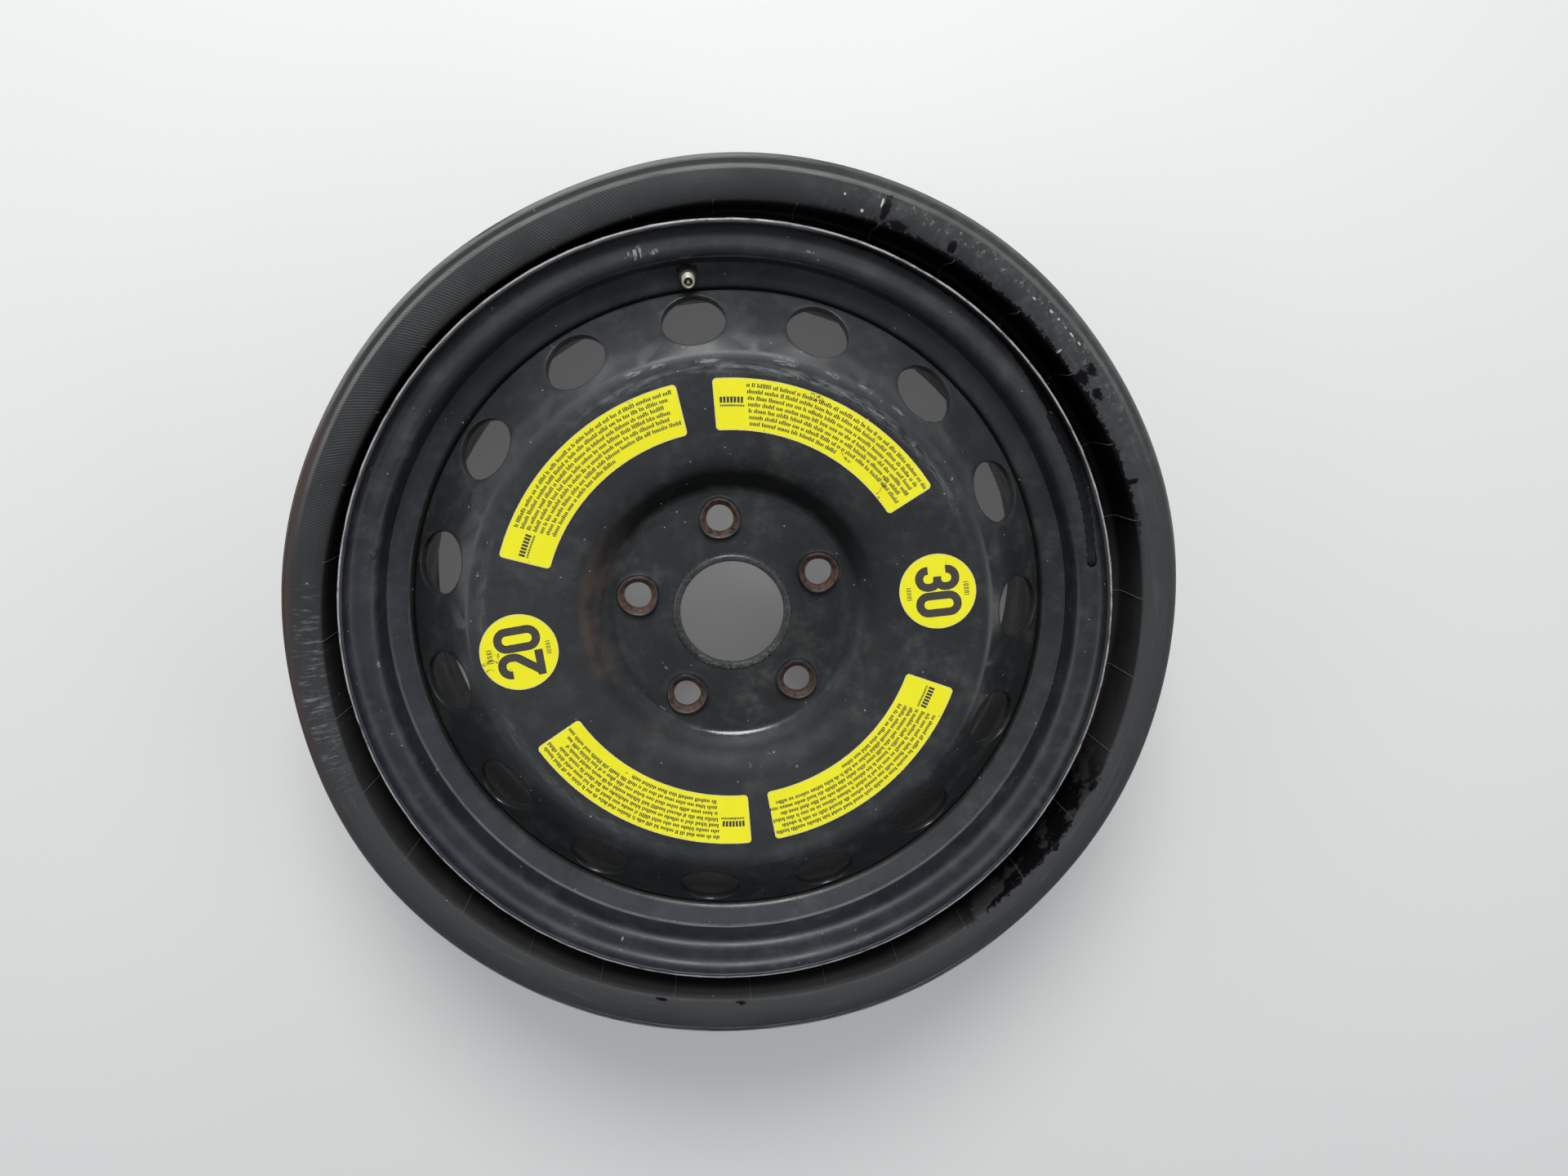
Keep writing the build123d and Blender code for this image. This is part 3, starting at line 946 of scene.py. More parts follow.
def black_paint():
    """Satin black paint on steel: dusty, chipped and waxed, worn on ridge and lip, rusty at the bolts, with
    painted highlights on ridge and slope, a painted sheen on the rim and painted shade in dish, seam and
    inside.
    """
    finish = Finish("black_paint")
    finish.polar()
    ragged = finish.ragged(220.0)
    finish.colour = finish.mix(finish.noise(finish.place, 14.0), paint_dark, paint_light)
    finish.tint(wax_black, finish.beyond(rim_start), 0.7)
    dust = finish.all_of(
        finish.patches(60.0, (0.45, 0.75), 6.0, 0.7), finish.patches(9.0, (0.35, 0.65), 3.0, span=(0.15, 0.4))
    )
    finish.tint(paint_dust, dust)
    dull = paint_haze_and_painted_shade(finish)
    worn_and_lit_ridge, marks = paint_wear(finish, ragged)
    wax = flange_wax(finish, ragged)
    lip = bare_lip(finish)
    rust_break = finish.noise(finish.place, 260.0, 6.0, 0.75)
    rust = bolt_rust(finish, rust_break)
    bore_wear(finish)

    bend = finish.on(dull_bend_ring)
    dull_ridge = finish.all_of(finish.on(dull_ridge_ring), finish.at(dull_ridge_stretch))
    pad_edge = finish.on(pad_edge_ring)
    low_side = finish.at(pad_at_foot)
    bright_edge = finish.all_of(pad_edge, low_side)
    dull_edge = finish.all_of(pad_edge, finish.rest_of(low_side))
    dark_pad = finish.all_of(finish.on(dark_pad_ring), finish.at(dark_pad_stretch))
    finish.rough = finish.patches(35.0, (0.2, 0.8), 5.0, span=(0.21, 0.37))
    for share, amount in (
        (finish.most_of(dust, rust, marks, worn_and_lit_ridge), 0.3),
        (dull["rim"], 0.14),
        (finish.most_of(dull["seam"], bend), 0.24),
        (dull_ridge, 0.16),
        (dull_edge, 0.25),
        (finish.most_of(wax, bright_edge), -0.12),
    ):
        finish.roughen(share, amount)
    dulled = finish.strongest_of(
        (wax, 0.4),
        (bend, 0.25),
        (dark_pad, 0.22),
        (dull["inside"], 0.2),
        (dull_edge, 0.3),
        (dull["dish"], 0.35),
    )
    shine = finish.math("SUBTRACT", paint_shine, dulled)
    finish.set(Base_Color=finish.colour, Roughness=finish.rough, Specular_IOR_Level=shine)
    grain = finish.noise(finish.place, 420.0, 3.0)
    finish.bump(finish.math("ADD", grain, finish.all_of(finish.most_of(rust, lip, wax), rust_break)), 0.06)
    return finish.material


def bolt_distance(finish):
    """Distance from the middle of the nearest bolt hole."""
    bolt_turn = 360 / bolt_count
    angle = finish.math("ADD", finish.angle, photo_turn_deg)
    local = finish.math("RADIANS", finish.math("WRAP", angle, bolt_turn / 2, -bolt_turn / 2))
    side = finish.math("MULTIPLY", finish.radius, finish.math("SINE", local))
    ahead = finish.math("MULTIPLY", finish.radius, finish.math("COSINE", local))
    return finish.length_of(side, finish.math("SUBTRACT", ahead, bolt_circle_radius))


def fold_shade(finish):
    """Painted shade in the fold, brown at the right, with painted light on its upper wall at the photograph's
    foot.
    """
    fold = finish.fall(finish.radius, *fold_end)
    fold_colour = finish.mix(finish.at(brown_fold), painted_fold_shade, fold_brown)
    fold_top = finish.spread(finish.height, *lit_fold_fade)
    lit = finish.all_of(finish.at(lit_fold), fold_top)
    finish.tint(finish.mix(lit, fold_colour, painted_fold_light), fold)


def tyre_dust(finish, near_top):
    """Pale flakes on the band, and dust along the shoulder, the strip beside it and the mould's rib."""
    flakes = finish.all_of(
        finish.at(flaked_band),
        finish.patches(210.0, (0.52, 0.6), 7.0, 0.85),
        finish.on(flaked_ring),
    )
    shoulder = finish.all_of(
        near_top,
        finish.beyond(shoulder_start),
        finish.streaks((40.0, 6.0), (0.2, 0.5), 6.0, 0.7),
        finish.most_of(finish.at(shoulder_at_left), finish.all_of(finish.at(shoulder_at_right), 0.45), 0.15),
    )
    strip = finish.all_of(
        finish.on(pale_strip_ring),
        finish.streaks((40.0, 4.0), (0.25, 0.6), 6.0, 0.75, span=(0.3, 1.0)),
        finish.most_of(finish.at(strip_at_left), finish.all_of(finish.at(strip_at_right), 0.5)),
    )
    low_edge = finish.all_of(finish.on(low_edge_ring), finish.at(edge_at_foot))
    rib = finish.all_of(
        near_top,
        finish.most_of(finish.on(mould_rib_ring), low_edge),
        finish.streaks((25.0, 3.0), (0.3, 0.6), 5.0, 0.7),
        finish.most_of(finish.at(rib_at_left), finish.at(rib_at_foot), 0.2),
    )
    finish.tint(rubber_dust, finish.strongest_of((flakes, 0.7), (shoulder, 0.6), (strip, 0.5), (rib, 0.7)))
    return flakes


def tyre_wax(finish, ragged):
    """Black wax in drops on the band and along its inner edge."""
    drops = finish.all_of(finish.spots(wax_drops, ragged), finish.spread(finish.height, *wax_drop_fade))
    edge = finish.math("ADD", finish.radius, finish.all_of(ragged, tyre_wax_fray))
    upper = finish.all_of(finish.at(waxed_band), finish.fall(edge, *waxed_band_end))
    lower = finish.all_of(
        finish.at(waxed_edge),
        finish.fall(edge, *waxed_edge_end),
        finish.patches(45.0, (0.44, 0.5)),
    )
    wax = finish.most_of(drops, upper, lower)
    finish.tint(wax_black, wax)
    return wax


def tyre_hatch(finish, wax):
    """Slanting hatch that the mould left on the band."""
    across, outward = hatch_pitch
    turns = finish.math("DIVIDE", finish.all_of(finish.angle, math.radians(band_outer)), across)
    phase = finish.math("ADD", turns, finish.math("DIVIDE", finish.radius, outward))
    hatch = finish.all_of(
        finish.spread(finish.math("SINE", finish.all_of(phase, 2 * math.pi)), -0.3, 0.8),
        finish.on(hatched_ring),
        finish.most_of(finish.at(hatched_band), 0.06),
        finish.patches(30.0, (0.35, 0.6), span=(0.3, 1.0)),
        finish.rest_of(wax),
    )
    finish.tint(rubber_dust, hatch, 0.13)
    return hatch


def tyre_rubber():
    """Dull black rubber with a hatch: pale at the shoulder, scuffed at the left, waxed at the right."""
    finish = Finish("tyre_rubber")
    finish.polar()
    finish.radius = finish.stored("even_radius")
    ragged = finish.ragged(200.0)
    cloud = finish.noise(finish.place, 16.0, 6.0, 0.65)
    finish.colour = finish.mix(cloud, rubber_dark, rubber_light)
    finish.tint(rubber_dust, finish.streaks((45.0, 3.0), (0.5, 0.75), 6.0, 0.7), 0.1)
    finish.tint(rubber_dust, finish.at(pale_tyre), 0.05)
    finish.tint(rubber_dark, finish.at(dark_tyre), 0.9)
    inner_shade = finish.all_of(finish.fall(finish.radius, *band_shade_end), finish.at(shaded_band))
    finish.tint(painted_fold_shade, inner_shade, 0.45)
    mottle = finish.all_of(finish.at(mottled_band), finish.patches(95.0, (0.45, 0.65), 7.0, 0.8))
    finish.tint(rubber_dust, mottle, 0.1)
    fold_shade(finish)
    near_top = finish.spread(finish.height, *shoulder_dust_fade)
    flakes = tyre_dust(finish, near_top)
    brown = finish.all_of(near_top, finish.at(brown_edge), finish.beyond(brown_edge_start))
    finish.tint(rubber_brown, brown, 0.8)
    wrinkles = finish.all_of(
        finish.at(wrinkled_band),
        finish.streaks((1.7, 13.0), (0.5, 0.68), 5.0, 0.75),
        finish.on(wrinkled_ring),
    )
    finish.tint(rubber_scuff, wrinkles, 0.65)
    wax = tyre_wax(finish, ragged)
    hatch = tyre_hatch(finish, wax)
    flecks = finish.spots(pale_flecks, ragged)
    finish.tint(pale_speck, finish.most_of(flecks, finish.all_of(finish.specks(110.0, 0.08, 0.1), 0.5)))

    finish.rough = finish.spread(cloud, 0.3, 0.7, 0.6, 0.78)
    finish.roughen(wax, -0.38)
    shine = finish.math("SUBTRACT", rubber_shine, finish.all_of(wax, 0.27))
    finish.set(Specular_IOR_Level=rubber_shine)
    finish.set(Base_Color=finish.colour, Roughness=finish.rough, Specular_IOR_Level=shine)
    fine = finish.noise(finish.place, 500.0, 4.0, 0.7)
    scuffs = finish.all_of(finish.most_of(wrinkles, flakes), 1.2)
    relief = finish.math("ADD", finish.all_of(hatch, 0.8), scuffs)
    finish.bump(finish.math("ADD", fine, relief), 0.14)
    return finish.material


def label_yellow():
    """Yellow film with thin dark scratches and nicks."""
    finish = Finish("yellow_field")
    cloud = finish.noise(finish.place, 60.0, 5.0, 0.65)
    colour = finish.mix(cloud, yellow_low, yellow_high)
    lines = finish.math("ABSOLUTE", finish.math("SUBTRACT", finish.noise(finish.place, 75.0, 3.0, 0.5), 0.5))
    scratches = finish.all_of(
        finish.fall(lines, 0.004, 0.011), finish.patches(38.0, (0.6, 0.64), 2.0)
    )
    nicks = finish.specks(150.0, 0.09, 0.07)
    colour = finish.mix(finish.all_of(finish.most_of(scratches, nicks), 0.85), colour, label_scratch)
    finish.set(Base_Color=colour, Roughness=finish.spread(cloud, 0.2, 0.8, 0.34, 0.48))
    finish.bump(finish.math("SUBTRACT", finish.noise(finish.place, 480.0, 3.0), scratches), 0.02)
    return finish.material


def plain_finish(name, low, high, scale, rough, metallic, shine):
    """A finish whose colour wanders between two values."""
    finish = Finish(name)
    cloud = finish.noise(finish.place, scale, 5.0, 0.65)
    finish.set(
        Base_Color=finish.mix(cloud, (*low, 1), (*high, 1)),
        Roughness=finish.spread(cloud, 0.2, 0.8, rough - 0.08, rough + 0.08),
        Metallic=metallic,
        Specular_IOR_Level=shine,
    )
    finish.bump(finish.noise(finish.place, scale * 8, 3.0), 0.02)
    return finish.material


def rim_corners():
    """Tyre side of the rim from the outboard lip to the inboard lip, as (radius, height, bend)."""
    face = lip_height - flange_overhang
    back_face = back_lip_height + flange_overhang
    seat_end = face - outer_seat_width
    seat_end_radius = bead_seat_radius - outer_seat_width * seat_taper
    well_start = seat_end - (seat_end_radius - well_radius) * ledge_slope
    return [
        (flange_radius, lip_height, lip_round),
        (flange_radius, face, flange_curl),
        (bead_seat_radius, face, seat_bend),
        (seat_end_radius, seat_end, seat_bend),
        (well_radius, well_start, well_bend),
        (well_radius, well_start - well_width, well_bend),
        (bead_seat_radius - inner_seat_width * seat_taper, back_face + inner_seat_width, well_bend),
        (bead_seat_radius, back_face, seat_bend),
        (flange_radius, back_face, flange_curl),
        (flange_radius, back_lip_height, lip_round),
    ]


def lip_wear(radius, height, angle_deg):
    """Small dents along the edge of the lip."""
    edge = smooth_step(height, lip_height - lip_wear_depth, lip_height)
    angle = math.radians(angle_deg)
    dent = math.sin(17 * angle) * math.sin(41 * angle + 1.0) + 0.6 * math.sin(97 * angle + 2.0)
    return radius + lip_dent * edge * dent, height + lip_wave * edge * math.sin(61 * angle)


def build_rim(material):
    corners = rim_corners()
    outline = rounded(corners + right_side(corners, rim_sheet)[::-1], closed=True)
    shape = Shape()
    turn_outline(shape, outline, rim_columns, lip_wear)
    rim = shape.make("rim", material)
    drill(rim, rubber_neck_radius + valve_fit)
    return rim


def valve_place():
    """Matrix that carries a shape drawn about Z to the valve, with its zero on the ledge of the rim."""
    middle = stem_height - stem_tip_chamfer - valve_thread_length / 2
    base = valve_thread_middle - valve_axis * (middle * MM)
    side = Vector((1, 0, 0))
    turn = Matrix((side, valve_axis.cross(side), valve_axis)).transposed()
    return Matrix.Translation(base) @ turn.to_4x4()


def drill(piece, radius):
    """Cuts the valve's hole through the rim."""
    depth = 3 * rim_sheet
    shape = Shape()
    turn_outline(shape, [(radius, -depth), (radius, depth)], hole_columns, closed=False)
    cutter = shape.make("valve_hole", piece.data.materials[0], place=valve_place())
    cut = piece.modifiers.new("valve_hole", "BOOLEAN")
    cut.operation = "DIFFERENCE"
    cut.object = cutter
    bpy.context.view_layer.update()
    cut_piece = piece.evaluated_get(bpy.context.evaluated_depsgraph_get())
    mesh = bpy.data.meshes.new_from_object(cut_piece)
    piece.modifiers.clear()
    piece.data = mesh
    bpy.data.objects.remove(cutter)


def build_run(name, material, stops, half_width, height, taper):
    """A run of wax or paint along the flange that dried in a drop, through stops of (angle, radius)."""
    corners = right_side(rim_corners()[:4], rim_sheet)
    track = Track(rounded(corners[::-1], closed=False))
    places = []
    for one, two in zip(stops, stops[1:]):
        places += [Vector(one).lerp(Vector(two), step / run_steps) for step in range(run_steps)]
    shape = Shape()
    rings = []
    for index, (angle_deg, radius) in enumerate(places):
        share = (index + 0.5) / len(places)
        tip = min(1.0, share * taper, (1 - share) * taper)
        end = math.sqrt(1 - (1 - tip) ** 2)
        drop = smooth_step(share, *drop_start)
        fray = 1 + run_fray * (1 - drop) * math.sin(2.1 * index) * math.sin(0.7 * index + 1)
        wide = half_width * end * fray * lerp(*drop_width, drop)
        tall = height * end * lerp(*drop_height, drop)
        ring = []
        for step in range(run_steps):
            turn = 2 * math.pi * step / run_steps
            place = radius + wide * math.cos(turn)
            surface = track.at(track.distance_of(place)).y
            ring.append(polar(place, surface + tall * math.sin(turn), angle_deg + photo_turn_deg))
        rings.append(shape.row(ring))
    shape.loft(rings, closed=False)
    return shape.make(name, material, sharp_deg=80.0)


class Track:
    """A path of (radius, height) points, read by the distance along it."""

    def __init__(self, points):
        self.points = points
        self.marks = [0.0]
        for one, two in zip(points, points[1:]):
            self.marks.append(self.marks[-1] + (two - one).length)

    def at(self, distance, lift=0.0):
        """Radius and height at a distance, lifted off the path's left side."""
        index = 0
        while index < len(self.points) - 2 and self.marks[index + 1] < distance:
            index += 1
        one, two = self.points[index], self.points[index + 1]
        run = (two - one).normalized()
        place = one + run * (distance - self.marks[index])
        return place + Vector((-run.y, run.x)) * lift

    def distance_of(self, radius):
        """Distance at which the path first reaches a radius."""
        for index, (one, two) in enumerate(zip(self.points, self.points[1:])):
            if one.x <= radius <= two.x:
                return self.marks[index] + (two - one).length * (radius - one.x) / (two.x - one.x)

    def marks_between(self, start, end):
        return [mark for mark in self.marks if start < mark < end]


class HoleZone:
    """A band of the disc between two distances, with a ring of round holes."""

    def __init__(self, track, radius, reach, count, side_steps):
        self.track = track
        self.middle = track.distance_of(radius)
        self.start = self.middle + reach[0]
        self.end = self.middle + reach[1]
        self.count = count
        self.side_steps = side_steps
        self.columns = disc_columns // count

    def loop(self, border, hole_radius, lift, middle_deg):
        """Ring of points round a hole, one towards each border point."""
        ring = []
        for distance, angle_deg in border:
            ahead = distance - self.middle
            aside = math.radians(angle_deg - middle_deg) * self.track.at(self.middle).x
            bearing = math.atan2(aside, ahead)
            place = self.track.at(self.middle + hole_radius * math.cos(bearing), lift)
            turn = math.degrees(hole_radius * math.sin(bearing) / place.x)
            ring.append((place, middle_deg + turn))
        return ring

    def fill(self, shape, rows, lifts, edges, layers):
        """Fills the band on both faces. rows holds its four rings: front and back, start and end."""
        sides = {}
        for face, lift in enumerate(lifts):
            for sector in range(self.count):
                angle_deg = 360 * (sector - 0.5) / self.count
                distances = [
                    lerp(self.start, self.end, step / self.side_steps) for step in range(1, self.side_steps)
                ]
                points = [polar(*self.track.at(distance, lift), angle_deg) for distance in distances]
                sides[face, sector] = (shape.row(points), distances)
        for sector in range(self.count):
            inner_loops = []
            for face, lift in enumerate(lifts):
                border, marks = self.border(rows[face], sides, face, sector)
                middle_deg = 360 * sector / self.count
                hole = self.loop(marks, edges[face], lift, middle_deg)
                before = border
                for layer in range(1, layers + 1):
                    share = layer / layers
                    points = []
                    for (distance, angle_deg), (place, hole_deg) in zip(marks, hole):
                        outer = self.track.at(distance, lift)
                        outer_point = polar(*outer, angle_deg)
                        points.append(outer_point.lerp(polar(*place, hole_deg), share))
                    loop = shape.row(points)
                    shape.join(before, loop)
                    before = loop
                inner_loops.append((before, marks, middle_deg))
            front, marks, middle_deg = inner_loops[0]
            before = front
            for hole_radius, lift in edges[2]:
                ring = self.loop(marks, hole_radius, lift, middle_deg)
                loop = shape.row([polar(*place, angle_deg) for place, angle_deg in ring])
                shape.join(before, loop)
                before = loop
            shape.join(before, inner_loops[1][0])

    def border(self, rings, sides, face, sector):
        """Vertices round one sector, with the distance and angle of each."""
        first = sector * self.columns - self.columns // 2
        columns = [column % disc_columns for column in range(first, first + self.columns + 1)]
        angles = [360 * column / disc_columns for column in range(first, first + self.columns + 1)]
        left, distances = sides[face, sector]
        right = sides[face, (sector + 1) % self.count][0]
        vertices = (
            [rings[0][column] for column in columns]
            + right
            + [rings[1][column] for column in columns[::-1]]
            + left[::-1]
        )
        marks = (
            [(self.start, angle) for angle in angles]
            + [(distance, angles[-1]) for distance in distances]
            + [(self.end, angle) for angle in angles[::-1]]
            + [(distance, angles[0]) for distance in distances[::-1]]
        )
        return vertices, marks


def build_disc(material):
    """The pressed disc: rings of vertices along its section, with bands for the bolt seats and the vents."""
    edge_height = ridge_height - (skirt_radius - ridge_radius) * cone_slope
    track = Track(rounded([
        (bore_radius, disc_sheet, 0),
        (pad_radius, disc_sheet, pad_bend),
        (crown_inner_radius, crown_inner_height, crown_bend),
        (ridge_radius, ridge_height, ridge_bend),
        (skirt_radius, edge_height, skirt_bend),
        (skirt_radius, skirt_end, 0),
    ], closed=False))
    bolts = HoleZone(track, bolt_circle_radius, bolt_zone, bolt_count, bolt_side_steps)
    vents = HoleZone(track, vent_circle_radius, vent_zone, vent_count, vent_side_steps)
    shape = Shape()

    def ring(distance, lift):
        return shape.row([
            polar(*track.at(distance, lift), 360 * column / disc_columns) for column in range(disc_columns)
        ])

    lip_base = bore_lip_width + bore_lip_height
    lip_rows = [
        (lip_base, 0.0),
        (bore_lip_width + 0.4, bore_lip_height - 0.25),
        (bore_lip_width - 0.3, bore_lip_height),
        (0.7, bore_lip_height),
        (0.2, bore_lip_height - 0.2),
        (0.0, bore_lip_height - 0.7),
        (0.0, disc_edge - disc_sheet),
        (disc_edge, -disc_sheet),
    ]
    lip_rings = [ring(distance, lift) for distance, lift in lip_rows]
    for one, two in zip(lip_rings, lip_rings[1:]):
        shape.join(one, two)

    ends = []
    for lift, first in ((0.0, lip_rings[0]), (-disc_sheet, lip_rings[-1])):
        rings = {}
        before = first
        before_distance = lip_base
        stops = (
            [bolts.start, bolts.end]
            + track.marks_between(bolts.end, vents.start)
            + [vents.start, vents.end]
            + track.marks_between(vents.end, track.marks[-1] - least_step)
            + [track.marks[-1] - disc_edge]
        )
        for stop in stops:
            after = ring(stop, lift)
            rings[stop] = after
            if before_distance not in (bolts.start, vents.start):
                shape.join(before, after)
            before = after
            before_distance = stop
        ends.append((before, rings))
    tip = ring(track.marks[-1], -disc_edge)
    back_tip = ring(track.marks[-1], disc_edge - disc_sheet)
    for one, two in zip((ends[0][0], tip, back_tip), (tip, back_tip, ends[1][0])):
        shape.join(one, two)

    lifts = (0.0, -disc_sheet)
    for zone, edges, layers in ((vents, vent_edges(), vent_layers), (bolts, bolt_edges(), bolt_layers)):
        rows = [(rings[zone.start], rings[zone.end]) for before, rings in ends]
        zone.fill(shape, rows, lifts, edges, layers)
    return shape.make("disc", material)


def vent_edges():
    """Radius of a vent on each face, and the rings down its wall between them as (radius, lift)."""
    wall = [
        (vent_radius + 0.3 * vent_edge, -0.3 * vent_edge),
        (vent_radius, -vent_edge),
        (vent_radius, vent_edge - disc_sheet),
        (vent_radius + 0.3 * vent_edge, 0.3 * vent_edge - disc_sheet),
    ]
    return vent_radius + vent_edge, vent_radius + vent_edge, wall


def bolt_edges():
    """Radius of a bolt boss and of its hole on each face, and the rings over the boss as (radius, lift)."""
    wall = [
        (boss_base_radius - 0.9, 0.25),
        (boss_top_radius + 0.45, 1.1),
        (boss_top_radius, boss_height - 0.7),
        (boss_top_radius - 0.2, boss_height - 0.15),
        (boss_top_radius - 0.6, boss_height),
        (bolt_seat_radius, boss_height - 0.1),
        (bolt_seat_radius - 0.4, boss_height - 0.5),
        (bolt_hole_radius + 0.7, 1.4),
        (bolt_hole_radius, 0.6),
        (bolt_hole_radius, 0.5 - disc_sheet),
    ]
    return boss_base_radius, bolt_hole_radius + 0.5, wall


def uneven(angle_deg):
    """How far the folded tyre stands out from round, at an angle clockwise from +Y."""
    angle = math.radians(angle_deg - photo_turn_deg)
    return 3.8 * math.sin(angle) - 2.6 * math.cos(angle) + 2.2 * math.sin(2 * angle) - 1.2


def edge_lean(angle_deg):
    """How far the band's inner edge leans out from the fold below it."""
    angle = math.radians(angle_deg - photo_turn_deg)
    slow = 0.8 * math.sin(angle) - 1.8 * math.cos(angle) - 0.54
    return slow - 1.0 * math.cos(2 * angle) + 1.1 * math.cos(3 * angle)


def tyre_sag(radius, height, angle_deg):
    """The tread and the folded side sit unevenly, while the beads stay on the rim."""
    share = smooth_step(radius, *sag_reach)
    angle = math.radians(angle_deg - photo_turn_deg)
    wave = 0.5 * math.sin(5 * angle + 0.6) + 0.35 * math.sin(9 * angle + 2.0)
    edge_share = smooth_step(height, *lean_heights) * (1 - smooth_step(radius, *lean_reach))
    return radius + share * (uneven(angle_deg) + wave) + edge_share * edge_lean(angle_deg), height


def tyre_shoulder():
    """Corners from the tread's edge to the band, with the mould's rib. Heights are above the middle."""
    band_edge = crest_height - middle_height - band_edge_drop
    low = Vector((tread_radius - shoulder_edge[0], band_edge - shoulder_edge[1]))
    high = Vector((band_outer, band_edge + band_edge_rise))
    out = Vector((high.y - low.y, low.x - high.x)).normalized() * rib_height
    first, last = [low.lerp(high, share) for share in rib_share]
    return [
        (tread_radius, band_edge - shoulder_width, shoulder_bend),
        (*low, shoulder_edge_bend),
        (*first, rib_foot_bend),
        (*(first + out), rib_top_bend),
        (*(last + out), rib_top_bend),
        (*last, rib_foot_bend),
        (*high, band_outer_bend),
    ]


def tyre_fold():
    """Corners from the crest of the band down into the fold and up to the flange."""
    crest = crest_height - middle_height
    band_edge = crest - band_edge_drop
    fold_bottom = lip_height - middle_height - fold_depth
    return [
        ((band_inner + band_outer) / 2, crest + crest_rise, crest_bend),
        (band_inner + band_edge_rise, band_edge + band_edge_rise, band_inner_bend),
        (band_inner, fold_bottom, fold_bend),
        (fold_inner, fold_bottom, fold_bend),
        (fold_inner, flange_side() - fold_wall, fold_top_bend),
    ]


def flange_side():
    """Height of the rubber that lies against the flange, above the middle."""
    return lip_height - middle_height - flange_overhang - tyre_fit


def tyre_bead():
    """Corners from the flange round the bead and back along the inside to the tread's underside."""
    seat = bead_seat_radius + tyre_fit
    toe = seat - bead_width * seat_taper
    cavity = lip_height - middle_height - fold_depth - fold_wall
    return [
        (flange_radius - flange_curl, flange_side(), 0),
        (seat + bead_heel, flange_side(), 0),
        (seat - bead_heel * seat_taper, flange_side() - bead_heel, 0),
        (toe, flange_side() - bead_width, bead_toe_bends[0]),
        (toe + bead_toe_rise, flange_side() - bead_width, bead_toe_bends[1]),
        (fold_inner - fold_wall, cavity, cavity_bend),
        (tread_radius - tread_thickness, cavity, cavity_bend),
    ]


def tread_corners():
    corners = []
    for number in (-1, 0, 1):
        low = number * tread_groove_pitch - tread_groove_width / 2
        high = low + tread_groove_width
        floor = tread_radius - tread_groove_depth
        corners += [
            (tread_radius, low, groove_edge_bend),
            (floor, low, groove_floor_bend),
            (floor, high, groove_floor_bend),
            (tread_radius, high, groove_edge_bend),
        ]
    return corners


def build_tyre(material):
    side = tyre_shoulder() + tyre_fold() + tyre_bead()
    far_side = [(radius, -height, bend) for radius, height, bend in side[::-1]]
    outline = rounded(tread_corners() + side + far_side, closed=True, slack=tyre_bend_slack)
    outline = [Vector((point.x, point.y + middle_height)) for point in outline]
    shape = Shape()
    turn_outline(shape, outline, tyre_columns, tyre_sag)
    tyre = shape.make("tyre_body", material)
    even_radius = tyre.data.attributes.new("even_radius", "FLOAT", "POINT")
    even_radius.data.foreach_set("value", [point.x for point in outline for column in range(tyre_columns)])
    return tyre


def build_mould_lines(material):
    """Thin raised lines that run from the band's edge down into the fold and up its inner wall."""
    fold = rounded(tyre_fold(), closed=False, slack=tyre_bend_slack)
    path = [point + Vector((0, middle_height)) for point in fold[1:]]
    shape = Shape()
    for number in range(mould_line_count):
        angle_deg = 360 * (number + mould_line_start) / mould_line_count
        rings = []
        for index, point in enumerate(path):
            before = path[max(index - 1, 0)]
            after = path[min(index + 1, len(path) - 1)]
            run = (after - before).normalized()
            outward = Vector((-run.y, run.x))
            ring = []
            for aside, lift in ((-0.5, mould_line_root), (0.0, mould_line_height), (0.5, mould_line_root)):
                radius, height = tyre_sag(*(point - outward * lift), angle_deg)
                turn_deg = math.degrees(aside * mould_line_width / radius)
                ring.append(polar(radius, height, angle_deg + turn_deg))
            rings.append(shape.row(ring))
        shape.loft(rings, closed=False)
    return shape.make("mould_lines", material)


def stem_thread(radius, height, angle_deg):
    """Thread of the valve stem, as a wave that climbs once round the stem in one pitch."""
    inside = height - (stem_height - stem_tip_chamfer - valve_thread_length)
    is_threaded = thread_run_out < inside < valve_thread_length - thread_run_out
    if radius < valve_thread_radius or not is_threaded:
        return radius, height
    turn = inside / thread_pitch - angle_deg / 360
    return radius - thread_depth * (0.5 - 0.5 * math.cos(2 * math.pi * turn)), height


def build_valve_stem(material):
    thread_start = stem_height - stem_tip_chamfer - valve_thread_length
    rows = round(valve_thread_length / thread_pitch * thread_rows)
    levels = [thread_start + valve_thread_length * row / rows for row in range(rows + 1)]
    outline = [
        (stem_bore_radius, -stem_tail_depth),
        (stem_tail_radius, -stem_tail_depth),
        (stem_tail_radius, thread_start - least_step),
        *[(valve_thread_radius, level) for level in levels],
        (valve_thread_radius - stem_tip_chamfer, stem_height),
        (core_bore_radius + core_bore_chamfer, stem_height),
        (core_bore_radius, stem_height - core_bore_chamfer),
        (core_bore_radius, core_seat_height + core_seat_length),
        (stem_bore_radius, core_seat_height),
    ]
    shape = Shape()
    turn_outline(shape, outline, valve_columns, stem_thread)
    return shape.make("threaded_stem", material, place=valve_place())


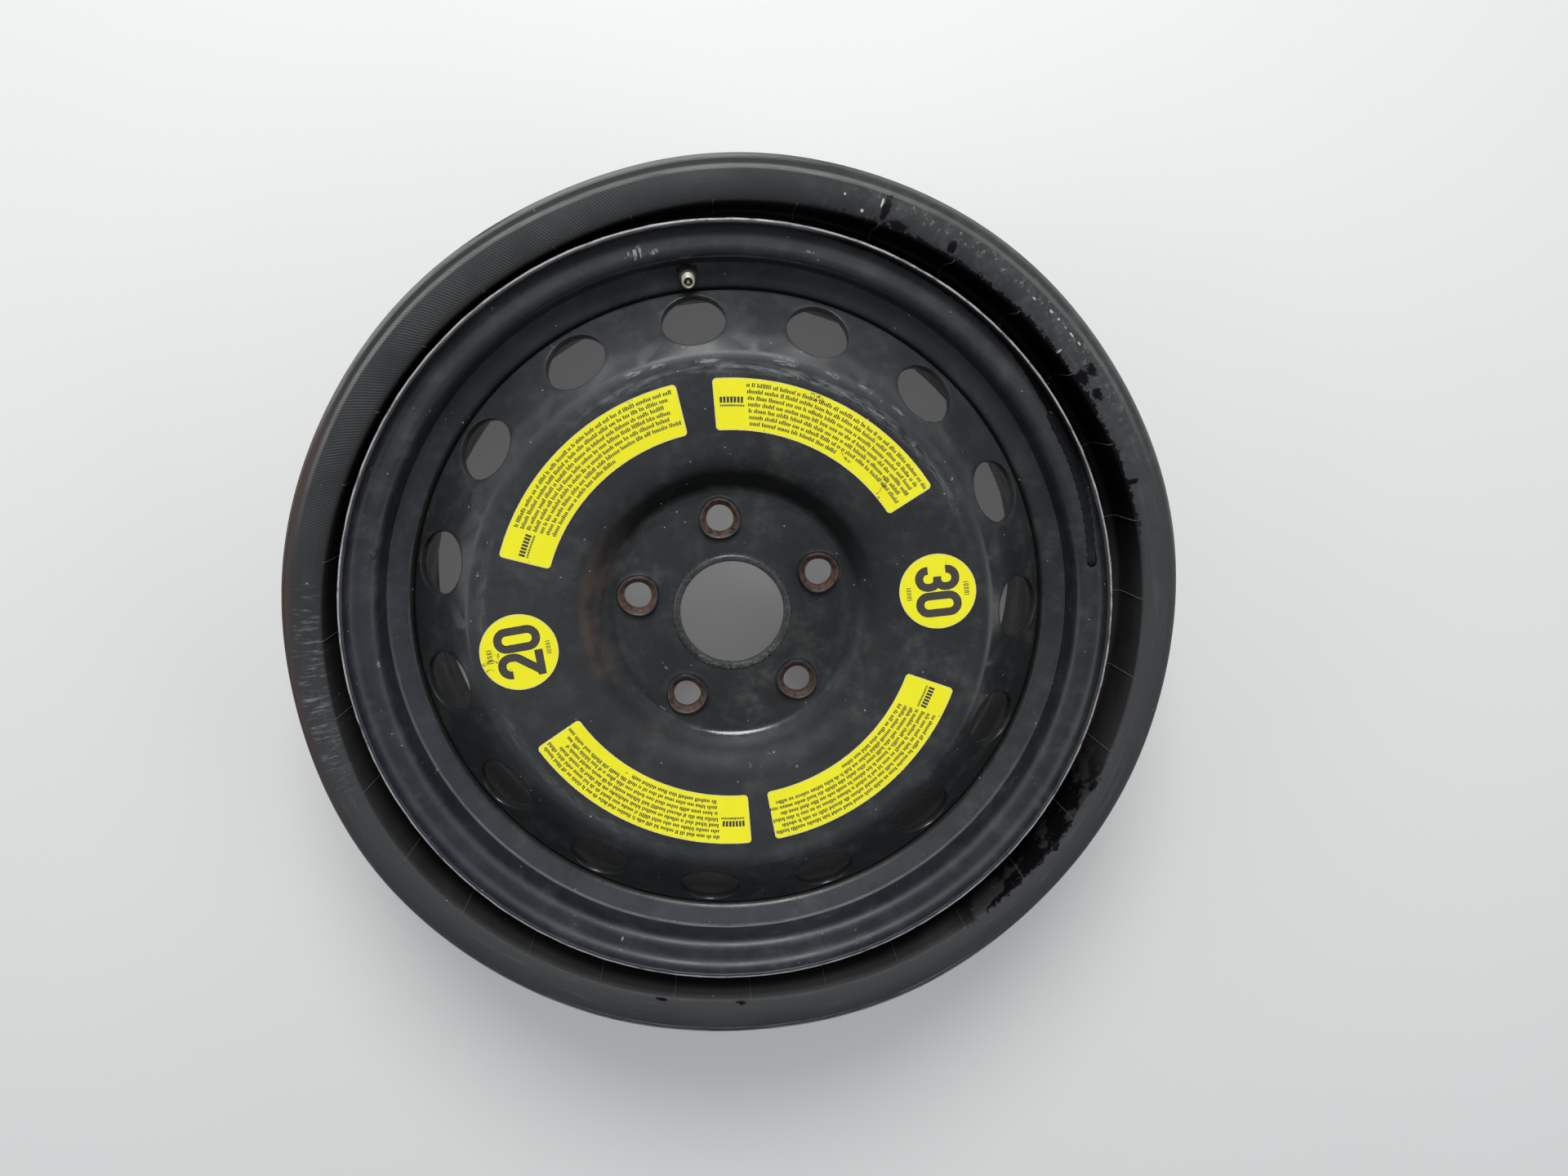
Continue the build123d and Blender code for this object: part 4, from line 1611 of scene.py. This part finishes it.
def build_valve_rubber(material):
    flange_top = -rim_sheet - valve_fit
    flange_bottom = flange_top - rubber_flange_thickness
    bore = stem_tail_radius + valve_fit
    tail = -stem_tail_depth - valve_fit
    outline = rounded([
        (stem_bore_radius, flange_bottom, 0),
        (rubber_flange_radius, flange_bottom, rubber_flange_bends[0]),
        (rubber_flange_radius, flange_top, rubber_flange_bends[1]),
        (rubber_neck_radius, flange_top, 0),
        (rubber_neck_radius, valve_fit, 0),
        (rubber_bulb_radius, valve_fit, rubber_bulb_bends[0]),
        (rubber_bulb_radius - rubber_bulb_taper, rubber_bulb_top, rubber_bulb_bends[1]),
        (rubber_tip_radius, rubber_cone_top, rubber_tip_bends[0]),
        (rubber_tip_radius, rubber_height, rubber_tip_bends[1]),
        (bore, rubber_height, 0),
        (bore, tail, 0),
        (stem_bore_radius, tail, 0),
    ], closed=True)
    shape = Shape()
    turn_outline(shape, outline, valve_columns)
    return shape.make("valve_body", material, place=valve_place())


def build_spring(material):
    """The valve core's spring, copied from its imported part. It doesn't shorten by the pin's travel."""
    packed = frame["nodes"]["valve_core_spring"]
    spring = bpy.data.objects.new("spring_coil", packed.data.copy())
    spring.matrix_world = packed.matrix_world
    spring.data.materials.clear()
    spring.data.materials.append(material)
    bpy.context.scene.collection.objects.link(spring)
    place_on_wheel(spring, "spring_steel", "valve_core_spring")
    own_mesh(spring)


def crown_height(radius):
    """Height of the crown's front face at a radius."""
    slope = (ridge_height - crown_inner_height) / (ridge_radius - crown_inner_radius)
    return crown_inner_height + (radius - crown_inner_radius) * slope


def lay(shape, pairs, lift, closed=False):
    """Lays a thin film on the crown. Each pair holds two points across the film, in the wheel's plane."""
    top = lift + ink_thickness
    rings = []
    for one, two in pairs:
        ring = []
        for point, level in ((one, lift), (two, lift), (two, top), (one, top)):
            ring.append(Vector((point.x, point.y, crown_height(point.length) + level)) * MM)
        rings.append(shape.row(ring))
    shape.loft(rings, closed)


def flat(radius, angle_deg):
    """Point in the wheel's plane, in millimetres."""
    angle = math.radians(angle_deg)
    return Vector((radius * math.sin(angle), radius * math.cos(angle)))


def label_reach(node):
    """First and last angle and inner and outer radius of a packed arc label."""
    mesh = frame["nodes"][node].data
    places = [frame["nodes"][node].matrix_world @ vertex.co / MM for vertex in mesh.vertices]
    rough = sum(places, Vector()) / len(places)
    rough_deg = math.degrees(math.atan2(rough.x, rough.y))
    turns = [
        (math.degrees(math.atan2(place.x, place.y)) - rough_deg + 180) % 360 - 180 for place in places
    ]
    radii = [place.xy.length for place in places]
    return rough_deg + min(turns), rough_deg + max(turns), min(radii), max(radii)


def arc_label_field(shape, node):
    """Yellow field of an arc label, inside the film's pale edge."""
    first_deg, last_deg, inner, outer = label_reach(node)
    middle = (inner + outer) / 2
    corner = film_corner - film_edge
    pairs = []
    length = math.radians(last_deg - first_deg) * middle - 2 * film_edge
    turns = [math.pi / 2 * step / field_corner_steps for step in range(1, field_corner_steps + 1)]
    marks = [corner * (1 - math.cos(turn)) for turn in turns]
    places = marks + [lerp(corner, length - corner, step / field_steps) for step in range(1, field_steps)]
    places += [length - mark for mark in marks[::-1]]
    for place in places:
        reach = min(place, length - place, corner)
        inset = film_edge + corner - math.sqrt(corner ** 2 - (corner - reach) ** 2)
        angle_deg = first_deg + math.degrees((place + film_edge) / middle)
        pairs.append((flat(inner + inset, angle_deg), flat(outer - inset, angle_deg)))
    lay(shape, pairs, film_top)


def letter(shape, radius, angle_deg, width, height):
    """One block of print that stands on a circle of the wheel, and the angle of its far side."""
    end_deg = angle_deg + math.degrees(width / radius)
    pairs = [(flat(radius, turn), flat(radius + height, turn)) for turn in (angle_deg, end_deg)]
    lay(shape, pairs, film_top + ink_thickness)
    return end_deg


def arc_label_print(shape, node, chance):
    """Lines of small plain blocks on an arc label, and a taller row of them as a heading."""
    first_deg, last_deg, inner, outer = label_reach(node)
    for number in range(line_count):
        radius = outer - first_line_inset - line_pitch * number - low_letter / 2
        angle_deg = first_deg + math.degrees(text_start / radius)
        stop_deg = last_deg - math.degrees(text_end_margin * chance.uniform(*line_end_range) / radius)
        if number == line_count - 1:
            stop_deg = lerp(angle_deg, stop_deg, last_line_share)
        while angle_deg < stop_deg:
            for count in range(chance.randint(*word_length_range)):
                height = chance.choice((low_letter, low_letter, high_letter))
                angle_deg = letter(shape, radius, angle_deg, letter_width, height)
                angle_deg += math.degrees(letter_gap / radius)
            angle_deg += math.degrees(word_gap / radius)
    width, height = heading_letter
    radius = outer - heading_inset
    angle_deg = first_deg + math.degrees(heading_start / radius)
    small_radius = radius - height - small_line_gap
    small_deg = angle_deg
    for count in range(heading_letters):
        angle_deg = letter(shape, radius - height / 2, angle_deg, width, height)
        angle_deg += math.degrees(heading_gap / radius)
    for count in range(2 * heading_letters):
        small_deg = letter(shape, small_radius, small_deg, letter_width, small_letter)
        small_deg += math.degrees(letter_gap / radius)


def round_label_print(field, ink, node, strokes):
    """Yellow field of a round label, with a plain number whose top is outward."""
    low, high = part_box(node)
    centre = Vector(((low.x + high.x) / 2, (low.y + high.y) / 2)) / MM
    reach = (high.x - low.x) / 2 / MM - film_edge
    outward = centre.normalized()
    across = Vector((outward.y, -outward.x))
    pairs = []
    for step in range(round_field_steps + 1):
        turn = math.pi * lerp(*round_field_turn, step / round_field_steps)
        middle = centre - across * (reach * math.cos(turn))
        half = outward * (reach * math.sin(turn))
        pairs.append((middle - half, middle + half))
    lay(field, pairs, film_top)

    level = film_top + ink_thickness
    for path, shift, closed in strokes:
        level += 0.1 * ink_thickness
        points = [centre + across * (point.x + shift) + outward * point.y for point in path]
        pairs = []
        count = len(points)
        for index, point in enumerate(points):
            before = points[index - 1] if closed or index else point
            after = points[(index + 1) % count] if closed or index < count - 1 else point
            run = (after - before).normalized()
            side = Vector((-run.y, run.x)) * (numeral_stroke / 2)
            pairs.append((point - side, point + side))
        lay(ink, pairs, level, closed=closed)
    for row, width, height in tick_rows:
        for number in range(tick_count):
            shift = (number - (tick_count - 1) / 2) * (width + tick_gap)
            for stroke in (-0.5, 0.5):
                foot = centre + across * (shift + stroke * width) + outward * (row - height / 2)
                thick = across * (tick_half_stroke * width)
                top = outward * height
                lay(ink, [(foot - thick, foot - thick + top), (foot + thick, foot + thick + top)], level)


def numeral_strokes(name, shift):
    """Strokes of one plain figure, as (path, shift, closed)."""
    wide = numeral_half_width
    tall = numeral_half_height
    bend = numeral_bend
    hook = [(-wide, 0.5 * tall, 0), (-wide, tall, bend), (wide, tall, bend)]
    if name == "0":
        corners = [(-wide, -tall, bend), (-wide, tall, bend), (wide, tall, bend), (wide, -tall, bend)]
        return [(subdivided(rounded(corners, closed=True), True), shift, True)]
    if name == "3":
        first = hook + [(wide, three_waist, three_waist_bend), (three_waist_start, three_waist, 0)]
        second = [(across, 2 * three_waist - up, turn) for across, up, turn in first]
    else:
        first = hook + [(wide, two_waist_share * tall, two_waist_bend), (-wide, -tall, 0)]
        second = [(-wide - numeral_stroke / 2, -tall, 0), (wide + numeral_stroke / 2, -tall, 0)]
    return [(subdivided(rounded(corners, closed=False)), shift, False) for corners in (first, second)]


def subdivided(points, closed=False):
    """The same path with no step longer than a few millimetres, so that it can follow the crown."""
    result = []
    for one, two in zip(points, points[1:] + points[:1] if closed else points[1:]):
        steps = max(1, math.ceil((two - one).length / longest_stroke_step))
        result += [one.lerp(two, step / steps) for step in range(steps)]
    return result if closed else result + [points[-1]]


def build_labels(yellow, ink):
    """Yellow fields and dark print on the six packed films."""
    chance = random.Random(7)
    fields = Shape()
    blocks = Shape()
    for node in sorted(frame["nodes"]):
        if node.startswith("label_") and not node.endswith("_round"):
            arc_label_field(fields, node)
            arc_label_print(blocks, node, chance)
    zero = numeral_strokes("0", numeral_apart)
    round_label_print(fields, blocks, "label_right_round", numeral_strokes("3", -numeral_apart) + zero)
    round_label_print(fields, blocks, "label_left_round", numeral_strokes("2", -numeral_apart) + zero)
    return fields.make("label_fields", yellow), blocks.make("label_print", ink)


def place_on_wheel(piece, slot, *nodes):
    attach(piece, "wheel")
    if nodes:
        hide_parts(*nodes)
    return piece


def dress(node, material):
    """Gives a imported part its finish."""
    mesh = frame["nodes"][node].data
    mesh.materials.clear()
    mesh.materials.append(material)


def make_surrounding():
    """Pale sky, brighter on the side of the photograph's top, where its light comes from."""
    world = bpy.data.worlds.new("surrounding")
    world.use_nodes = True
    nodes = world.node_tree.nodes
    links = world.node_tree.links
    sky = nodes["Background"]
    sky.inputs["Color"].default_value = sky_colour
    way = nodes.new("ShaderNodeVectorMath")
    way.operation = "DOT_PRODUCT"
    way.inputs[1].default_value = sky_side
    links.new(nodes.new("ShaderNodeTexCoord").outputs["Generated"], way.inputs[0])
    level = nodes.new("ShaderNodeMapRange")
    level.interpolation_type = "SMOOTHSTEP"
    for socket, value in zip(level.inputs[1:], (*sky_fade, sky_dark, sky_bright)):
        socket.default_value = value
    links.new(way.outputs["Value"], level.inputs[0])
    links.new(level.outputs[0], sky.inputs["Strength"])
    bpy.context.scene.world = world


def make_stage():
    """Pale floor, soft lamps and a pale surrounding."""
    finish = Finish("pale_floor")
    cloud = finish.noise(finish.place, 2.0, 3.0)
    finish.set(Base_Color=finish.mix(cloud, floor_low, floor_high), Roughness=0.8)
    glow = finish.nodes.new("ShaderNodeEmission")
    glow.inputs["Color"].default_value = floor_glow
    seen = finish.nodes.new("ShaderNodeLightPath")
    ways = finish.most_of(
        seen.outputs["Is Camera Ray"], seen.outputs["Is Glossy Ray"], seen.outputs["Is Transmission Ray"]
    )
    share = finish.math("MULTIPLY", ways, floor_glow_share)
    blend = finish.nodes.new("ShaderNodeMixShader")
    finish.links.new(share, blend.inputs[0])
    finish.links.new(finish.shader.outputs[0], blend.inputs[1])
    finish.links.new(glow.outputs[0], blend.inputs[2])
    finish.links.new(blend.outputs[0], finish.nodes["Material Output"].inputs["Surface"])

    mesh = bpy.data.meshes.new("floor")
    sides = ((-1, -1), (1, -1), (1, 1), (-1, 1))
    corners = [(x * floor_reach, y * floor_reach, floor_height * MM) for x, y in sides]
    mesh.from_pydata(corners, [], [(0, 1, 2, 3)])
    mesh.materials.append(finish.material)
    floor = bpy.data.objects.new("floor", mesh)
    bpy.context.scene.collection.objects.link(floor)

    make_surrounding()

    for name, size, watts, place in lamps:
        light = bpy.data.lights.new(name, "AREA")
        light.shape = "DISK"
        light.size = size
        light.energy = watts
        lamp = bpy.data.objects.new(name, light)
        lamp.location = place
        lamp.rotation_euler = (-Vector(place)).to_track_quat("-Z", "Y").to_euler()
        bpy.context.scene.collection.objects.link(lamp)


def make_camera():
    lens = bpy.data.cameras.new("camera")
    lens.sensor_width = camera_sensor
    lens.lens = camera_lens
    camera = bpy.data.objects.new("camera", lens)
    camera.location = Vector(camera_place) * MM
    camera.rotation_euler = Euler([math.radians(turn) for turn in camera_turn_deg])
    bpy.context.scene.collection.objects.link(camera)
    bpy.context.scene.camera = camera


bpy.context.scene.view_settings.view_transform = "Standard"
make_camera()
make_stage()

paint = black_paint()
rubber = tyre_rubber()
yellow = label_yellow()
plain = {name: plain_finish(name, *values) for name, values in plain_finishes.items()}

place_on_wheel(build_rim(paint), "black_paint", "rim_barrel")
place_on_wheel(build_disc(paint), "black_paint", "wheel_disc")
place_on_wheel(build_run("wax_run", plain["black_wax"], wax_run, *wax_run_size), "black_paint")
place_on_wheel(build_run("paint_drop", paint, paint_drop, *paint_drop_size), "black_paint")
place_on_wheel(build_tyre(rubber), "tyre_rubber", "tyre")
place_on_wheel(build_mould_lines(plain["mould_flash"]), "tyre_rubber")
place_on_wheel(build_valve_stem(plain["valve_metal"]), "valve_brass", "valve_stem")
place_on_wheel(build_valve_rubber(plain["valve_rubber"]), "valve_rubber", "valve_rubber")
build_spring(plain["spring_steel"])
for piece in build_labels(yellow, plain["dark_ink"]):
    place_on_wheel(piece, "yellow_label")
dress("weld_beads", paint)
for node in ("valve_core_barrel", "valve_core_pin", "valve_core_cup"):
    dress(node, plain["valve_metal"])
dress("valve_core_plug", plain["core_metal"])
for node in ("valve_core_gasket", "valve_core_seal"):
    dress(node, plain["valve_rubber"])
for node in frame["nodes"]:
    if node.startswith("label_"):
        dress(node, plain["pale_film"])
